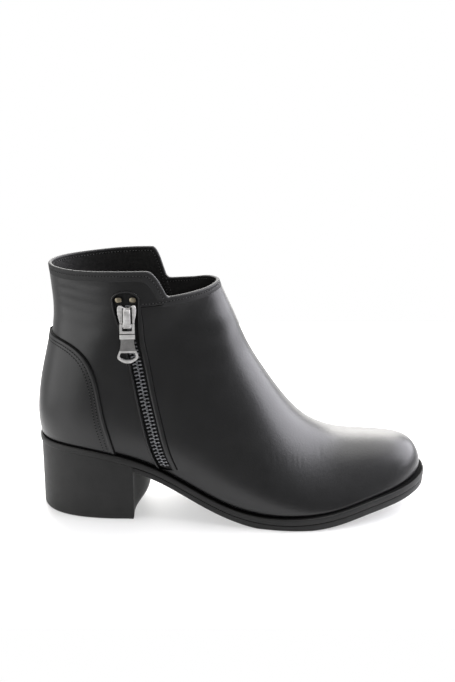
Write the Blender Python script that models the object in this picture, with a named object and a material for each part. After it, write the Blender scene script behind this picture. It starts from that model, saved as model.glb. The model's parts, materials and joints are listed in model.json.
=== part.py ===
"""Right ankle bootie: leather upper on a curved last, layered sole, block heel and side zip.

Tables are in millimetres along the shoe: x from the back of the sole towards the toe, y across
(the lateral, zip side is -y), z up from the floor. Meshes are written in metres, round the middle
of the sole's box.
"""

import math

import bmesh
import bpy
import numpy as np
from mathutils import Matrix, Vector

MM = 0.001
LATERAL, MEDIAL = -1, 1

# Driving sizes
WALL = 2.0
GAP = 0.3
RIM_THICK = 4.2
RIM_EDGE = 0.5
TREAD_EDGE = 1.0
INSOLE_THICK, INSOLE_EDGE, INSOLE_CLEAR = 2.5, 0.6, 1.7
BREAST_X = 66.5
COUNTER_THICK, COUNTER_GAP = 1.2, 0.45

# One row for each section of the upper's outside: its front point on the ridge, its back point on
# the heel curve or on a keel below the sole, both reaches across, the ridge's own place across,
# how far the fullest part sits towards the back point, and how square the oval is.
# front_x, front_z, back_x, back_z, lateral, medial, ridge_y, egg, square
LAST_SECTIONS = (
    (247.0, 10.0, 245.0, 8.0, 1.0, 4.0, 1.5, 0.10, 0.05),
    (257.5, 25.0, 243.0, 3.0, 13.0, 15.5, 1.5, 0.12, 0.06),
    (256.7, 34.8, 235.0, -1.0, 23.5, 25.0, 1.6, 0.14, 0.06),
    (249.9, 43.5, 225.0, -4.0, 31.5, 32.8, 1.8, 0.16, 0.06),
    (236.4, 47.1, 214.0, -6.0, 38.3, 39.3, 2.0, 0.18, 0.06),
    (218.7, 48.3, 202.0, -7.0, 44.0, 43.8, 2.2, 0.20, 0.06),
    (201.6, 49.8, 187.0, -7.5, 47.6, 46.3, 2.2, 0.21, 0.06),
    (183.6, 57.0, 169.0, -8.0, 49.5, 45.8, 2.0, 0.21, 0.05),
    (167.0, 72.5, 147.0, -6.0, 48.8, 43.0, 1.6, 0.21, 0.04),
    (152.4, 93.4, 121.0, 1.0, 45.5, 38.0, 1.0, 0.21, 0.04),
    (141.5, 111.5, 92.0, 14.0, 40.5, 34.5, 0.5, 0.19, 0.04),
    (134.0, 128.5, 58.0, 26.0, 36.8, 33.4, 0.0, 0.15, 0.04),
    (128.4, 141.5, 24.0, 29.0, 34.6, 33.2, 0.0, 0.12, 0.04),
    (125.3, 148.5, 6.1, 50.0, 33.6, 32.8, 0.0, 0.11, 0.045),
    (122.9, 154.0, 4.4, 76.0, 33.2, 32.4, 0.0, 0.09, 0.04),
    (121.3, 158.5, 9.6, 104.0, 33.0, 32.4, 0.0, 0.06, 0.03),
    (120.1, 163.0, 15.0, 132.0, 32.8, 32.4, 0.0, 0.03, 0.015),
    (119.4, 169.0, 14.4, 153.0, 33.0, 32.6, 0.0, 0.01, 0.01),
    (118.7, 178.0, 12.5, 178.0, 33.2, 32.8, 0.0, 0.01, 0.01),
)

# x, how far the rim stands out from the upper
RIM_LEDGE = (
    (0.0, 3.3), (30.0, 2.9), (60.0, 2.6), (95.0, 2.5),
    (150.0, 2.5), (205.0, 2.6), (240.0, 3.2), (262.0, 4.4),
)
# x, height of the rim's top
RIM_TOP = (
    (-6.0, 50.6), (8.0, 51.0), (20.0, 50.8), (37.0, 49.2), (53.0, 46.2), (67.0, 42.0),
    (84.0, 35.2), (102.0, 25.8), (119.0, 17.2), (133.0, 11.8), (148.0, 9.0), (165.0, 8.4),
    (182.0, 9.2), (200.0, 11.6), (217.0, 15.4), (234.0, 18.6), (248.0, 21.3), (264.0, 25.6),
)
# x, height of the underside that meets the floor
TREAD = (
    (60.0, 36.2), (67.0, 33.6), (84.0, 26.6), (102.0, 17.0), (119.0, 8.3), (133.0, 3.0),
    (148.0, 0.0), (165.0, 0.0), (182.0, 0.0), (200.0, 2.2), (217.0, 6.0), (234.0, 9.1),
    (248.0, 11.8), (264.0, 15.6),
)

# The collar's height along x: level at the back, a slanted step, then the lower front edge.
# x, z
COLLAR_BACK = {
    LATERAL: ((6.0, 166.8), (30.0, 166.8), (58.0, 167.7), (84.0, 167.7)),
    MEDIAL: ((6.0, 166.8), (30.0, 166.8), (58.0, 168.2), (84.0, 169.1)),
}
COLLAR_FRONT = {
    LATERAL: ((80.0, 149.6), (98.0, 151.1), (110.0, 152.3), (117.0, 153.5), (124.0, 155.6)),
    MEDIAL: ((80.0, 146.9), (98.0, 149.1), (105.0, 150.3), (110.0, 151.9), (115.0, 154.2), (124.0, 156.4)),
}
STEP_TOP = {LATERAL: 82.2, MEDIAL: 80.6}
STEP_FOOT = {LATERAL: 91.0, MEDIAL: 87.8}
STEP_ROUND_TOP, STEP_ROUND_FOOT = 9.5, 2.0

# The heel counter's front edge, from the rim up to the middle of the back: x, z
COUNTER_EDGE = (
    (55.8, 46.0), (52.6, 59.0), (49.4, 72.0), (46.9, 88.0), (44.0, 101.6), (38.2, 113.0),
    (28.6, 119.8), (18.0, 122.0), (11.6, 122.3),
)

# The zip's middle line, top to bottom: x, z
ZIP_LINE = (
    (65.0, 156.0), (66.0, 132.0), (70.6, 109.0), (75.0, 85.0),
    (79.2, 66.0), (84.4, 46.0), (88.2, 36.4),
)
# The opening's reach to the rear and to the front of that line, a slot under a keyhole: z, rear, front
KEYHOLE_SIDES = (
    (36.4, 4.6, 4.6), (70.0, 4.6, 4.6), (112.0, 4.6, 4.8), (124.0, 4.9, 5.4), (133.0, 5.4, 6.5),
    (141.0, 6.9, 7.2), (149.8, 8.2, 7.6),
)
KEYHOLE_CROWN = 5.2
TAPE_MARGIN, TAPE_THICK, TAPE_END = 3.0, 0.8, 1.0
CHAIN_TOP, CHAIN_WIDE, CHAIN_THICK, CHAIN_OUT = 148.1, 3.0, 1.5, -0.4
CHAIN_SPLIT, CHAIN_END = 0.1, 1.0
STOP_PLACES = (("zip_top_stop_rear", -4.7), ("zip_top_stop_front", 4.3))
STOP_WIDE, STOP_TALL, STOP_OUT, STOP_DEEP = 4.2, 3.4, 0.2, 1.6

# The heel block: how far it is inset from the rim, and the form of its breast.
HEEL_INSET_TOP, HEEL_INSET_FLOOR = 0.75, 0.7
HEEL_FLOOR_EDGE = 1.6
# z, how far the middle of the breast stands forward
BREAST_SWELL = (
    (0.0, 0.0), (2.0, 0.6), (5.0, 3.2), (9.0, 8.0), (14.0, 10.4), (24.0, 11.0), (44.0, 11.0),
)
BREAST_SKEW = 3.0
BREAST_CROWN = 1.3

# The slider and its pull in the zip's own plane, from the pull's pivot: across, up and out.
PIVOT = (65.4, 134.5)
PIVOT_OUT = 3.0
SLIDER_BASE, SLIDER_TOP, SLIDER_HALF = -0.1, 1.5, 5.9
# The right half of the slider's plate, from its foot: across as a share of its half width, up
SLIDER_PLATE = ((0.72, -1.7), (0.8, 3.0), (1.0, 7.5), (1.0, 11.2), (0.74, 12.6), (0.24, 11.0))
# The bridge over the pull's bar, in the plane across the bar: up, and out from the pivot
BRIDGE_HALF, BRIDGE_FOOT = 2.2, 0.6
BRIDGE_OUTSIDE = ((10.4, -1.1), (9.8, 0.3), (9.0, 0.6), (3.4, 1.3), (2.2, 1.9), (-1.2, 2.0), (-2.1, 1.2))
# The room under the bridge: its top and foot along the wall, and its roof
BRIDGE_ROOM = (1.7, -1.15, 1.25)
# The left half of the pull, from its bar to the middle of its ring end: across, up
PULL_BAR = 1.5
PULL_EDGE = (
    (-4.7, 0.75), (-4.7, -8.4), (-4.2, -9.0), (-4.6, -13.0), (-5.2, -16.4), (-6.4, -19.4), (-6.6, -20.9),
    (-5.2, -22.6), (-2.6, -24.1), (0.0, -24.6),
)
# The pull's eye: half width, foot, top and corner radius
PULL_EYE = (3.0, -3.4, -0.75, 0.5)
# The left half of the ring's opening
PULL_RING = (
    (-4.2, -17.6), (-4.8, -18.4), (-5.0, -20.2), (-4.4, -21.2), (-2.4, -22.3), (0.0, -22.7),
)


class Spline:
    """A natural cubic spline through table rows."""

    def __init__(self, knots, values):
        self.knots = np.asarray(knots, float)
        self.values = np.asarray(values, float)
        count = len(self.knots)
        gaps = np.diff(self.knots)
        matrix = np.eye(count)
        right = np.zeros_like(self.values)
        for i in range(1, count - 1):
            matrix[i, i - 1:i + 2] = gaps[i - 1], 2 * (gaps[i - 1] + gaps[i]), gaps[i]
            after = (self.values[i + 1] - self.values[i]) / gaps[i]
            before = (self.values[i] - self.values[i - 1]) / gaps[i - 1]
            right[i] = 6 * (after - before)
        self.bends = np.linalg.solve(matrix, right)

    def __call__(self, at):
        at = np.asarray(at, float)
        i = np.clip(np.searchsorted(self.knots, at) - 1, 0, len(self.knots) - 2)
        gap = self.knots[i + 1] - self.knots[i]
        a = (self.knots[i + 1] - at) / gap
        b = 1 - a
        if self.values.ndim == 2:
            a, b, gap = a[..., None], b[..., None], gap[..., None]
        bend = (a ** 3 - a) * self.bends[i] + (b ** 3 - b) * self.bends[i + 1]
        return a * self.values[i] + b * self.values[i + 1] + bend * gap * gap / 6


def table_spline(rows):
    table = np.array(rows)
    return Spline(table[:, 0], table[:, 1] if table.shape[1] == 2 else table[:, 1:])


def oval(angle, egg, square):
    """Half a section's reach across, from its back point (0) to its front point (pi)."""
    return np.sin(angle) + egg * np.sin(2 * angle) + square * np.sin(3 * angle)


def last_spline():
    rows = np.array(LAST_SECTIONS)
    front = np.hypot(*np.diff(rows[:, 0:2], axis=0).T)
    back = np.hypot(*np.diff(rows[:, 2:4], axis=0).T)
    stations = np.concatenate([[0.0], np.cumsum((front + back) / 2)])
    angles = np.linspace(0.0, math.pi, 361)
    fullest = oval(angles[None], rows[:, 7:8], rows[:, 8:9]).max(axis=1)
    lateral, medial, ridge = rows[:, 4], rows[:, 5], rows[:, 6]
    reaches = np.column_stack([(lateral + ridge) / fullest, (medial - ridge) / fullest])
    return Spline(stations, np.column_stack([rows[:, 0:4], reaches, rows[:, 6:9]]))


LAST = last_spline()
rim_top = table_spline(RIM_TOP)
tread_line = table_spline(TREAD)
rim_ledge = table_spline(RIM_LEDGE)
collar_back = {side: table_spline(rows) for side, rows in COLLAR_BACK.items()}
collar_front = {side: table_spline(rows) for side, rows in COLLAR_FRONT.items()}
breast_swell = table_spline(BREAST_SWELL)
keyhole_sides = table_spline(KEYHOLE_SIDES)
zip_x = Spline([-row[1] for row in ZIP_LINE], [row[0] for row in ZIP_LINE])


def tread(x):
    return np.maximum(tread_line(x), 0.0)


def last_point(station, angle, side):
    station, angle = np.broadcast_arrays(np.asarray(station, float), np.asarray(angle, float))
    values = np.moveaxis(LAST(station), -1, 0)
    front_x, front_z, back_x, back_z, lateral, medial, ridge, egg, square = values
    share = (1 - np.cos(angle)) / 2
    reach = lateral if side == LATERAL else medial
    across = ridge + side * reach * oval(angle, egg, square)
    x = back_x + share * (front_x - back_x)
    return np.stack([x, across, back_z + share * (front_z - back_z)], -1)


def last_normal(station, angle, side):
    step = 1e-3
    along = last_point(station + step, angle, side) - last_point(station - step, angle, side)
    around = last_point(station, angle + step, side) - last_point(station, angle - step, side)
    normal = side * np.cross(along, around)
    return normal / np.linalg.norm(normal, axis=-1, keepdims=True)


def skin(station, angle, side, out):
    """A point on the upper's outside, moved out along its normal."""
    return last_point(station, angle, side) + out * last_normal(station, angle, side)


def root(function, low, high):
    """Where a function that changes sign once is zero, for each pair of ends."""
    low, high = np.broadcast_arrays(np.asarray(low, float), np.asarray(high, float))
    start = function(low) > 0
    for _ in range(50):
        middle = (low + high) / 2
        same = (function(middle) > 0) == start
        low, high = np.where(same, middle, low), np.where(same, high, middle)
    return (low + high) / 2


def over_rim(station, angle):
    point = last_point(station, angle, LATERAL)
    return point[..., 2] - rim_top(point[..., 0]) - GAP


STATIONS = LAST.knots
TOE_TIP = root(lambda s: over_rim(s, math.pi), STATIONS[0], STATIONS[2])
HEEL_BACK = root(lambda s: over_rim(s, 0.0), STATIONS[11], STATIONS[15])
END_SLACK = 1e-6


def feather_angle(station):
    """Where a section leaves the rim, from the toe tip to the back of the heel."""
    station = np.asarray(station, float)
    zero = np.zeros_like(station)
    angle = root(lambda a: over_rim(station, a), zero, zero + math.pi)
    return np.where(station < HEEL_BACK - END_SLACK, angle, 0.0)


def lower(a, b, reach):
    """The lower of two heights, with the corner between them rounded."""
    share = np.clip(0.5 + 0.5 * (b - a) / reach, 0.0, 1.0)
    return b + share * (a - b) - reach * share * (1 - share)


def collar_height(x, side):
    back_end, back_top = COLLAR_BACK[side][-1]
    front_end, front_top = COLLAR_FRONT[side][0]
    slope = (back_top - front_top) / (STEP_FOOT[side] - STEP_TOP[side])
    slant = back_top - slope * (x - STEP_TOP[side])
    back = lower(collar_back[side](np.minimum(x, back_end)), slant, STEP_ROUND_TOP)
    front = collar_front[side](np.maximum(x, front_end))
    return -lower(-back, -front, STEP_ROUND_FOOT)


def collar_station(angle, side):
    """The section on which the collar's edge meets an angle."""
    angle = np.asarray(angle, float)
    fade = np.sin(angle)

    def over(station):
        point = last_point(station, angle, side)
        x = point[..., 0]
        return point[..., 2] - fade * collar_height(x, side) - (1 - fade) * collar_height(x, LATERAL)

    return root(over, np.full_like(angle, STATIONS[12]), np.full_like(angle, STATIONS[-1]))


def locate(x, z):
    """The section and angle whose side view is this point."""
    x, z = np.broadcast_arrays(np.asarray(x, float), np.asarray(z, float))

    def beside(station):
        front_x, front_z, back_x, back_z = np.moveaxis(LAST(station)[..., 0:4], -1, 0)
        return (front_x - back_x) * (z - back_z) - (front_z - back_z) * (x - back_x)

    station = root(beside, np.full(x.shape, STATIONS[1]), np.full(x.shape, STATIONS[-1]))
    front_x, front_z, back_x, back_z = np.moveaxis(LAST(station)[..., 0:4], -1, 0)
    run, rise = front_x - back_x, front_z - back_z
    share = ((x - back_x) * run + (z - back_z) * rise) / (run * run + rise * rise)
    return station, np.arccos(1 - 2 * np.clip(share, 0.0, 1.0))


def wall_point(x, z, out, side=LATERAL):
    station, angle = locate(x, z)
    return skin(station, angle, side, out)


def even_steps(points, count):
    """Row numbers that cut a polyline into equal lengths."""
    steps = np.linalg.norm(np.diff(points, axis=0), axis=1)
    lengths = np.concatenate([[0.0], np.cumsum(steps)])
    return np.interp(np.linspace(0.0, lengths[-1], count), lengths, np.arange(len(points)))


def pick(values, picks):
    """Rows of a table at fractional row numbers."""
    index = np.arange(len(values))
    return np.column_stack([np.interp(picks, index, column) for column in values.T])


FEATHER_FINE = 400
feather_shares = (1 - np.cos(np.linspace(0.0, math.pi, FEATHER_FINE))) / 2
feather_stations = TOE_TIP + (HEEL_BACK - TOE_TIP) * feather_shares


def feather_rows(count):
    """Sections from toe tip to heel back whose ends are evenly spaced along the rim."""
    edge = last_point(feather_stations, feather_angle(feather_stations), LATERAL)
    picks = even_steps(edge, count)
    return np.interp(picks, np.arange(FEATHER_FINE), feather_stations)


def outline(side, out):
    """The upper's edge on the rim seen from above, toe tip to heel back, moved out by a distance."""
    edge = last_point(feather_stations, feather_angle(feather_stations), side)[:, 0:2]
    run = np.gradient(edge, axis=0)
    normal = side * np.column_stack([run[:, 1], -run[:, 0]])
    normal[0], normal[-1] = (1.0, 0.0), (-1.0, 0.0)
    normal /= np.linalg.norm(normal, axis=1, keepdims=True)
    return edge + np.reshape(out, (-1, 1)) * normal


WHOLE = -1e9


def outline_part(side, out, count, from_x):
    """Evenly spaced outline points from the toe tip back to an x."""
    points = outline(side, out)
    ahead = points[points[:, 0] > from_x]
    if len(ahead) < len(points):
        after = points[len(ahead)]
        share = (from_x - ahead[-1, 0]) / (after[0] - ahead[-1, 0])
        ahead = np.vstack([ahead, ahead[-1] + share * (after - ahead[-1])])
    return pick(ahead, even_steps(ahead, count))


def ledge(more):
    """How far to move the outline out along the shoe: the rim's ledge and a little more or less."""
    edge_x = last_point(feather_stations, feather_angle(feather_stations), LATERAL)[:, 0]
    return rim_ledge(edge_x) + more


def plan_middle():
    rims = np.vstack([outline(side, ledge(0.0)) for side in (LATERAL, MEDIAL)])
    return (rims.min(axis=0) + rims.max(axis=0)) / 2


MIDDLE_X, MIDDLE_Y = plan_middle()


def to_world(points):
    return (np.asarray(points, float) - (MIDDLE_X, MIDDLE_Y, 0.0)) * MM


def paint(name, colour, roughness, metallic=0.0):
    material = bpy.data.materials.new(name)
    material.use_nodes = True
    shader = material.node_tree.nodes["Principled BSDF"]
    shader.inputs["Base Color"].default_value = (*colour, 1.0)
    shader.inputs["Roughness"].default_value = roughness
    shader.inputs["Metallic"].default_value = metallic
    return material


def add_solid(name, points, faces, material):
    """A closed mesh from points in shoe millimetres, its faces turned outwards."""
    mesh = bpy.data.meshes.new(name)
    shaped = bmesh.new()
    corners = [shaped.verts.new(point) for point in to_world(points)]
    for face in faces:
        ring = [index for place, index in enumerate(face) if index != face[place - 1]]
        if len(set(ring)) > 2:
            shaped.faces.new([corners[index] for index in ring])
    bmesh.ops.recalc_face_normals(shaped, faces=shaped.faces)
    if shaped.calc_volume(signed=True) < 0:
        bmesh.ops.reverse_faces(shaped, faces=shaped.faces)
    shaped.to_mesh(mesh)
    shaped.free()
    mesh.shade_smooth()
    mesh.set_sharp_from_angle(angle=math.radians(35))
    thing = bpy.data.objects.new(name, mesh)
    bpy.context.scene.collection.objects.link(thing)
    thing.data.materials.append(material)
    thing.parent = ROOT
    return thing


def quads(ids):
    """Faces between the rows of a grid of point numbers."""
    return [
        (ids[i][j], ids[i][j + 1], ids[i + 1][j + 1], ids[i + 1][j])
        for i in range(len(ids) - 1)
        for j in range(len(ids[0]) - 1)
    ]


def cut(thing, cutter):
    """Takes a hidden solid out of a piece."""
    cutter.hide_render = True
    cutter.display_type = "WIRE"
    modifier = thing.modifiers.new("cut_" + cutter.name, "BOOLEAN")
    modifier.operation = "DIFFERENCE"
    modifier.solver = "MANIFOLD"
    modifier.object = cutter


def add_prism(name, side_view, low_y, high_y, material):
    """A side-view outline pushed through from one y to another."""
    side_view = np.asarray(side_view, float)
    count = len(side_view)
    near = np.column_stack([side_view[:, 0], np.full(count, low_y), side_view[:, 1]])
    far = near + (0.0, high_y - low_y, 0.0)
    faces = [tuple(range(count)), tuple(range(2 * count - 1, count - 1, -1))]
    faces += [(j, (j + 1) % count, count + (j + 1) % count, count + j) for j in range(count)]
    return add_solid(name, np.vstack([near, far]), faces, material)


# Upper

ROWS_FOOT, ROWS_SHAFT = 27, 9
# Columns as shares of the way from rim to ridge, closest at the collar's step
ACROSS = (
    0.0, 0.07, 0.15, 0.24, 0.33, 0.42, 0.51, 0.56, 0.585, 0.605, 0.625, 0.645, 0.665, 0.71, 0.78,
    0.85, 0.92, 1.0,
)


def upper_sheet(out):
    """Grid of the upper's skin: rows from toe tip to collar, columns from rim over ridge to rim."""
    foot = feather_rows(ROWS_FOOT)
    rise = np.linspace(0.0, 1.0, ROWS_SHAFT)[1:]
    across = np.array(ACROSS)
    halves = []
    for side in (LATERAL, MEDIAL):
        low = feather_angle(foot)
        low[0], low[-1] = math.pi, 0.0
        angles = low[:, None] + (math.pi - low[:, None]) * across
        rows = [skin(np.full_like(a, s), a, side, out) for s, a in zip(foot, angles)]
        rim = np.array([row[0] for row in rows])
        for row, edge in zip(rows, rim):
            row[0, 2] = rim_top(edge[0]) + GAP
        angles = math.pi * across
        top = collar_station(angles, side)
        rows += [skin(foot[-1] + r * (top - foot[-1]), angles, side, out) for r in rise]
        halves.append(np.array(rows))
    lateral, medial = halves
    lateral[:, -1] = medial[:, -1] = (lateral[:, -1] + medial[:, -1]) / 2
    return np.concatenate([lateral, medial[:, -2::-1]], axis=1)


def upper_ids(first):
    """Point numbers of one sheet: the toe row is one point, and shaft rows close at the back."""
    total = 2 * len(ACROSS) - 1
    rows = ROWS_FOOT + ROWS_SHAFT - 1
    ids = [[first + i * total + j for j in range(total)] for i in range(rows)]
    ids[0] = [ids[0][0]] * total
    for i in range(ROWS_FOOT - 1, rows):
        ids[i][-1] = ids[i][0]
    return ids


def make_upper(leather):
    outside, inside = upper_sheet(0.0), upper_sheet(-WALL)
    points = np.concatenate([outside.reshape(-1, 3), inside.reshape(-1, 3)])
    outer, inner = upper_ids(0), upper_ids(outside.shape[0] * outside.shape[1])
    faces = quads(outer) + quads(inner)
    faces += quads([outer[-1], inner[-1]])
    for column in (0, -1):
        edge = [[ids[i][column] for i in range(ROWS_FOOT)] for ids in (outer, inner)]
        faces += quads(edge)
    return add_solid("upper", points, faces, leather)


SLOT_ROWS, CROWN_POINTS = 20, 9
KEYHOLE_CUT = (-70.0, -12.0)


def keyhole_outline():
    """The opening in the side view: up the rear of the slot, over the keyhole, down its front."""
    low, high = KEYHOLE_SIDES[0][0], KEYHOLE_SIDES[-1][0]
    z = np.linspace(low, high, SLOT_ROWS)
    rear, front = keyhole_sides(z).T
    middle = zip_x(-z)
    turn = np.linspace(0.0, math.pi, CROWN_POINTS)[1:-1]
    reach = np.where(turn < math.pi / 2, rear[-1], front[-1])
    crown = np.column_stack([middle[-1] - reach * np.cos(turn), high + KEYHOLE_CROWN * np.sin(turn)])
    back, ahead = np.column_stack([middle - rear, z]), np.column_stack([middle + front, z])
    return np.vstack([back, crown, ahead[::-1]])


# Sole and heel

OUTLINE_COUNT = 30


def plan_ring(out, height, from_x):
    """A closed ring: lateral side from the toe tip back, then the medial side forward again."""
    lateral = outline_part(LATERAL, out, OUTLINE_COUNT, from_x)
    medial = outline_part(MEDIAL, out, OUTLINE_COUNT, from_x)
    last = -2 if from_x == WHOLE else -1
    ring = np.vstack([lateral, medial[last:0:-1]])
    return np.column_stack([ring, height(ring[:, 0])])


def add_plate(name, rings, material, from_x=WHOLE):
    """A layer that follows the rim: rings of (move out, height function), top to bottom."""
    rings = [plan_ring(out, height, from_x) for out, height in rings]
    count = len(rings[0])
    ids = [[i * count + j % count for j in range(count + 1)] for i in range(len(rings))]
    faces = quads(ids)
    for ring in (ids[0], ids[-1]):
        for j in range(count // 2):
            faces.append((ring[j], ring[j + 1], ring[count - j - 1], ring[count - j]))
    return add_solid(name, np.vstack(rings), faces, material)


def make_midsole(rubber):
    return add_plate("midsole", (
        (ledge(-RIM_EDGE), rim_top),
        (ledge(0.0), lambda x: rim_top(x) - RIM_EDGE),
        (ledge(0.0), lambda x: rim_top(x) - RIM_THICK + RIM_EDGE),
        (ledge(-RIM_EDGE), lambda x: rim_top(x) - RIM_THICK),
    ), rubber)


def make_outsole(rubber):
    top = RIM_THICK + GAP
    return add_plate("outsole", (
        (ledge(-2 * RIM_EDGE), lambda x: rim_top(x) - top),
        (ledge(-RIM_EDGE), lambda x: rim_top(x) - top - RIM_EDGE),
        (ledge(-RIM_EDGE), lambda x: tread(x) + TREAD_EDGE),
        (ledge(-RIM_EDGE - TREAD_EDGE), tread),
    ), rubber, BREAST_X + GAP)


def make_insole(board):
    inset = -WALL - INSOLE_CLEAR
    return add_plate("insole", (
        (inset - INSOLE_EDGE, lambda x: rim_top(x) + GAP + INSOLE_THICK),
        (inset, lambda x: rim_top(x) + GAP + INSOLE_THICK - INSOLE_EDGE),
        (inset, lambda x: rim_top(x) + GAP),
    ), board)


HEEL_ROUND, BREAST_ACROSS = 14, 9
HEEL_LEVELS = (0.0, HEEL_FLOOR_EDGE, 4.0, 7.0, 10.0, 14.0, 22.0, 34.0, 52.0)
SEAT_BACK, SEAT_FRONT, SEAT_REACH = -12.0, BREAST_X + 30.0, 80.0


def heel_ring(z):
    """The heel block at a height: round the back from breast to breast, then across the breast."""
    share = z / HEEL_LEVELS[-1]
    inset = HEEL_INSET_FLOOR + share * (HEEL_INSET_TOP - HEEL_INSET_FLOOR)
    inset += max(HEEL_FLOOR_EDGE - z, 0.0)
    sides = {}
    for side in (LATERAL, MEDIAL):
        points = outline(side, ledge(-inset))
        front = BREAST_X - (BREAST_SKEW if side == MEDIAL else 0.0)
        behind = points[points[:, 0] < front]
        corner = (front, np.interp(front, points[::-1, 0], points[::-1, 1]))
        behind = np.vstack([corner, behind])
        sides[side] = pick(behind, even_steps(behind, HEEL_ROUND))
    first, last = sides[MEDIAL][0], sides[LATERAL][0]
    across = np.linspace(0.0, 1.0, BREAST_ACROSS)[1:-1]
    breast = first + across[:, None] * (last - first)
    breast[:, 0] += breast_swell(z) * (1 - (2 * across - 1) ** 2) ** BREAST_CROWN
    ring = np.vstack([sides[LATERAL], sides[MEDIAL][-2::-1], breast])
    return np.column_stack([ring, np.full(len(ring), z)])


def make_heel(rubber):
    rings = [heel_ring(z) for z in HEEL_LEVELS]
    count = len(rings[0])
    ids = [[i * count + j % count for j in range(count + 1)] for i in range(len(rings))]
    faces = quads(ids) + [tuple(ids[0][:-1]), tuple(ids[-1][:-1])]
    heel = add_solid("heel", np.vstack(rings), faces, rubber)
    step = BREAST_X + GAP / 2
    seat = [(x, rim_top(x) - RIM_THICK - GAP) for x in np.linspace(SEAT_BACK, step, 14)]
    waist = [(x, tread(x) - GAP) for x in np.linspace(step, SEAT_FRONT, 8)]
    above = 2 * HEEL_LEVELS[-1]
    side_view = seat + waist + [(waist[-1][0], above), (seat[0][0], above)]
    cut(heel, add_prism("seat_cutter", side_view, -SEAT_REACH, SEAT_REACH, rubber))
    return heel


# Heel counter

COUNTER_AROUND, COUNTER_UP = 15, 12
COUNTER_CORNER = 4


def path_spline(points):
    points = np.array(points)
    steps = np.linalg.norm(np.diff(points, axis=0), axis=1)
    shares = np.concatenate([[0.0], np.cumsum(steps)]) / steps.sum()
    return Spline(shares, points), shares


def counter_sheet(out, side):
    """Grid over the back of the upper, from the middle of the back to the counter's front edge."""
    edge, shares = path_spline(COUNTER_EDGE)
    around, up = np.linspace(0.0, 1.0, COUNTER_AROUND), np.linspace(0.0, 1.0, COUNTER_UP)
    corner = shares[COUNTER_CORNER]
    front = np.array(locate(*edge(up * corner).T))
    top = np.array(locate(*edge(1 - around * (1 - corner)).T))
    top[1, 0] = 0.0
    edge_x = COUNTER_EDGE[0][0]
    feather_x = last_point(feather_stations, feather_angle(feather_stations), side)[:, 0]
    start = np.interp(-edge_x, -feather_x, feather_stations)
    foot_line = start + (HEEL_BACK - start) * np.sin(np.linspace(0.0, math.pi / 2, FEATHER_FINE))
    picks = even_steps(last_point(foot_line, feather_angle(foot_line), side), COUNTER_AROUND)[::-1]
    foot = np.interp(picks, np.arange(FEATHER_FINE), foot_line)
    foot = np.array([foot, feather_angle(foot)])
    foot[:, 0] = HEEL_BACK, 0.0
    back = np.array([foot[0, 0] + up * (top[0, 0] - foot[0, 0]), 0.0 * up])
    front[:, 0], front[:, -1] = foot[:, -1], top[:, -1]
    s, t = up[:, None], around[None, :]
    grid = [
        (1 - s) * foot[i][None, :] + s * top[i][None, :]
        + (1 - t) * back[i][:, None] + t * front[i][:, None]
        - (1 - s) * (1 - t) * foot[i, 0] - (1 - s) * t * foot[i, -1]
        - s * (1 - t) * top[i, 0] - s * t * top[i, -1]
        for i in (0, 1)
    ]
    sheet = skin(grid[0], grid[1], side, out)
    sheet[0, :, 2] = rim_top(sheet[0, :, 0]) + GAP
    return sheet


def make_counter(leather):
    sheets = []
    for out in (COUNTER_GAP + COUNTER_THICK, COUNTER_GAP):
        lateral, medial = counter_sheet(out, LATERAL), counter_sheet(out, MEDIAL)
        sheets.append(np.concatenate([lateral[:, ::-1], medial[:, 1:]], axis=1))
    return add_sheet_solid("heel_counter", sheets, leather)


def add_sheet_solid(name, sheets, material):
    """A solid between an outer and an inner grid, closed round their edges."""
    rows, columns = sheets[0].shape[:2]
    count = rows * columns
    outer = [[i * columns + j for j in range(columns)] for i in range(rows)]
    inner = [[count + i for i in row] for row in outer]
    faces = quads(outer) + quads(inner)
    for pair in (
        [outer[0], inner[0]],
        [outer[-1], inner[-1]],
        [[row[0] for row in outer], [row[0] for row in inner]],
        [[row[-1] for row in outer], [row[-1] for row in inner]],
    ):
        faces += quads(pair)
    points = np.concatenate([sheet.reshape(-1, 3) for sheet in sheets])
    return add_solid(name, points, faces, material)


# Zip

TAPE_ROWS, CHAIN_ROWS = 22, 27
STOP_FORM = np.array([0.42, 0.5, 0.42])


def strip(name, heights, low, high, outs, material, columns=3):
    """A strip that follows the zip's line on the wall, between two offsets from that line."""
    shares = np.linspace(0.0, 1.0, columns)
    x = zip_x(-heights)[:, None] + low[:, None] + shares * (high - low)[:, None]
    z = np.repeat(heights[:, None], columns, axis=1)
    return add_sheet_solid(name, [wall_point(x, z, out) for out in outs], material)


def make_zip_tape(cloth):
    crown = KEYHOLE_SIDES[-1][0]
    top, foot = crown + KEYHOLE_CROWN + TAPE_MARGIN, ZIP_LINE[-1][1] - TAPE_END
    heights = np.linspace(top, foot, TAPE_ROWS)
    rear, front = keyhole_sides(np.clip(heights, KEYHOLE_SIDES[0][0], crown)).T + TAPE_MARGIN
    outs = (-WALL - GAP, -WALL - GAP - TAPE_THICK)
    return strip("zip_tape", heights, -rear, front, outs, cloth, 5)


def make_zip_chain(metal):
    heights = np.linspace(CHAIN_TOP, ZIP_LINE[-1][1] + CHAIN_END, CHAIN_ROWS)
    outs = (CHAIN_OUT, CHAIN_OUT - CHAIN_THICK)
    inner = np.full_like(heights, CHAIN_SPLIT)
    outer = inner + CHAIN_WIDE
    strip("zip_chain_front", heights, inner, outer, outs, metal)
    strip("zip_chain_rear", heights, -outer, -inner, outs, metal)


def make_top_stops(brass):
    heights = CHAIN_TOP + GAP + np.linspace(STOP_TALL, 0.0, len(STOP_FORM))
    half = STOP_FORM * STOP_WIDE
    for name, middle in STOP_PLACES:
        strip(name, heights, middle - half, middle + half, (STOP_OUT, STOP_OUT - STOP_DEEP), brass)


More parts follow.
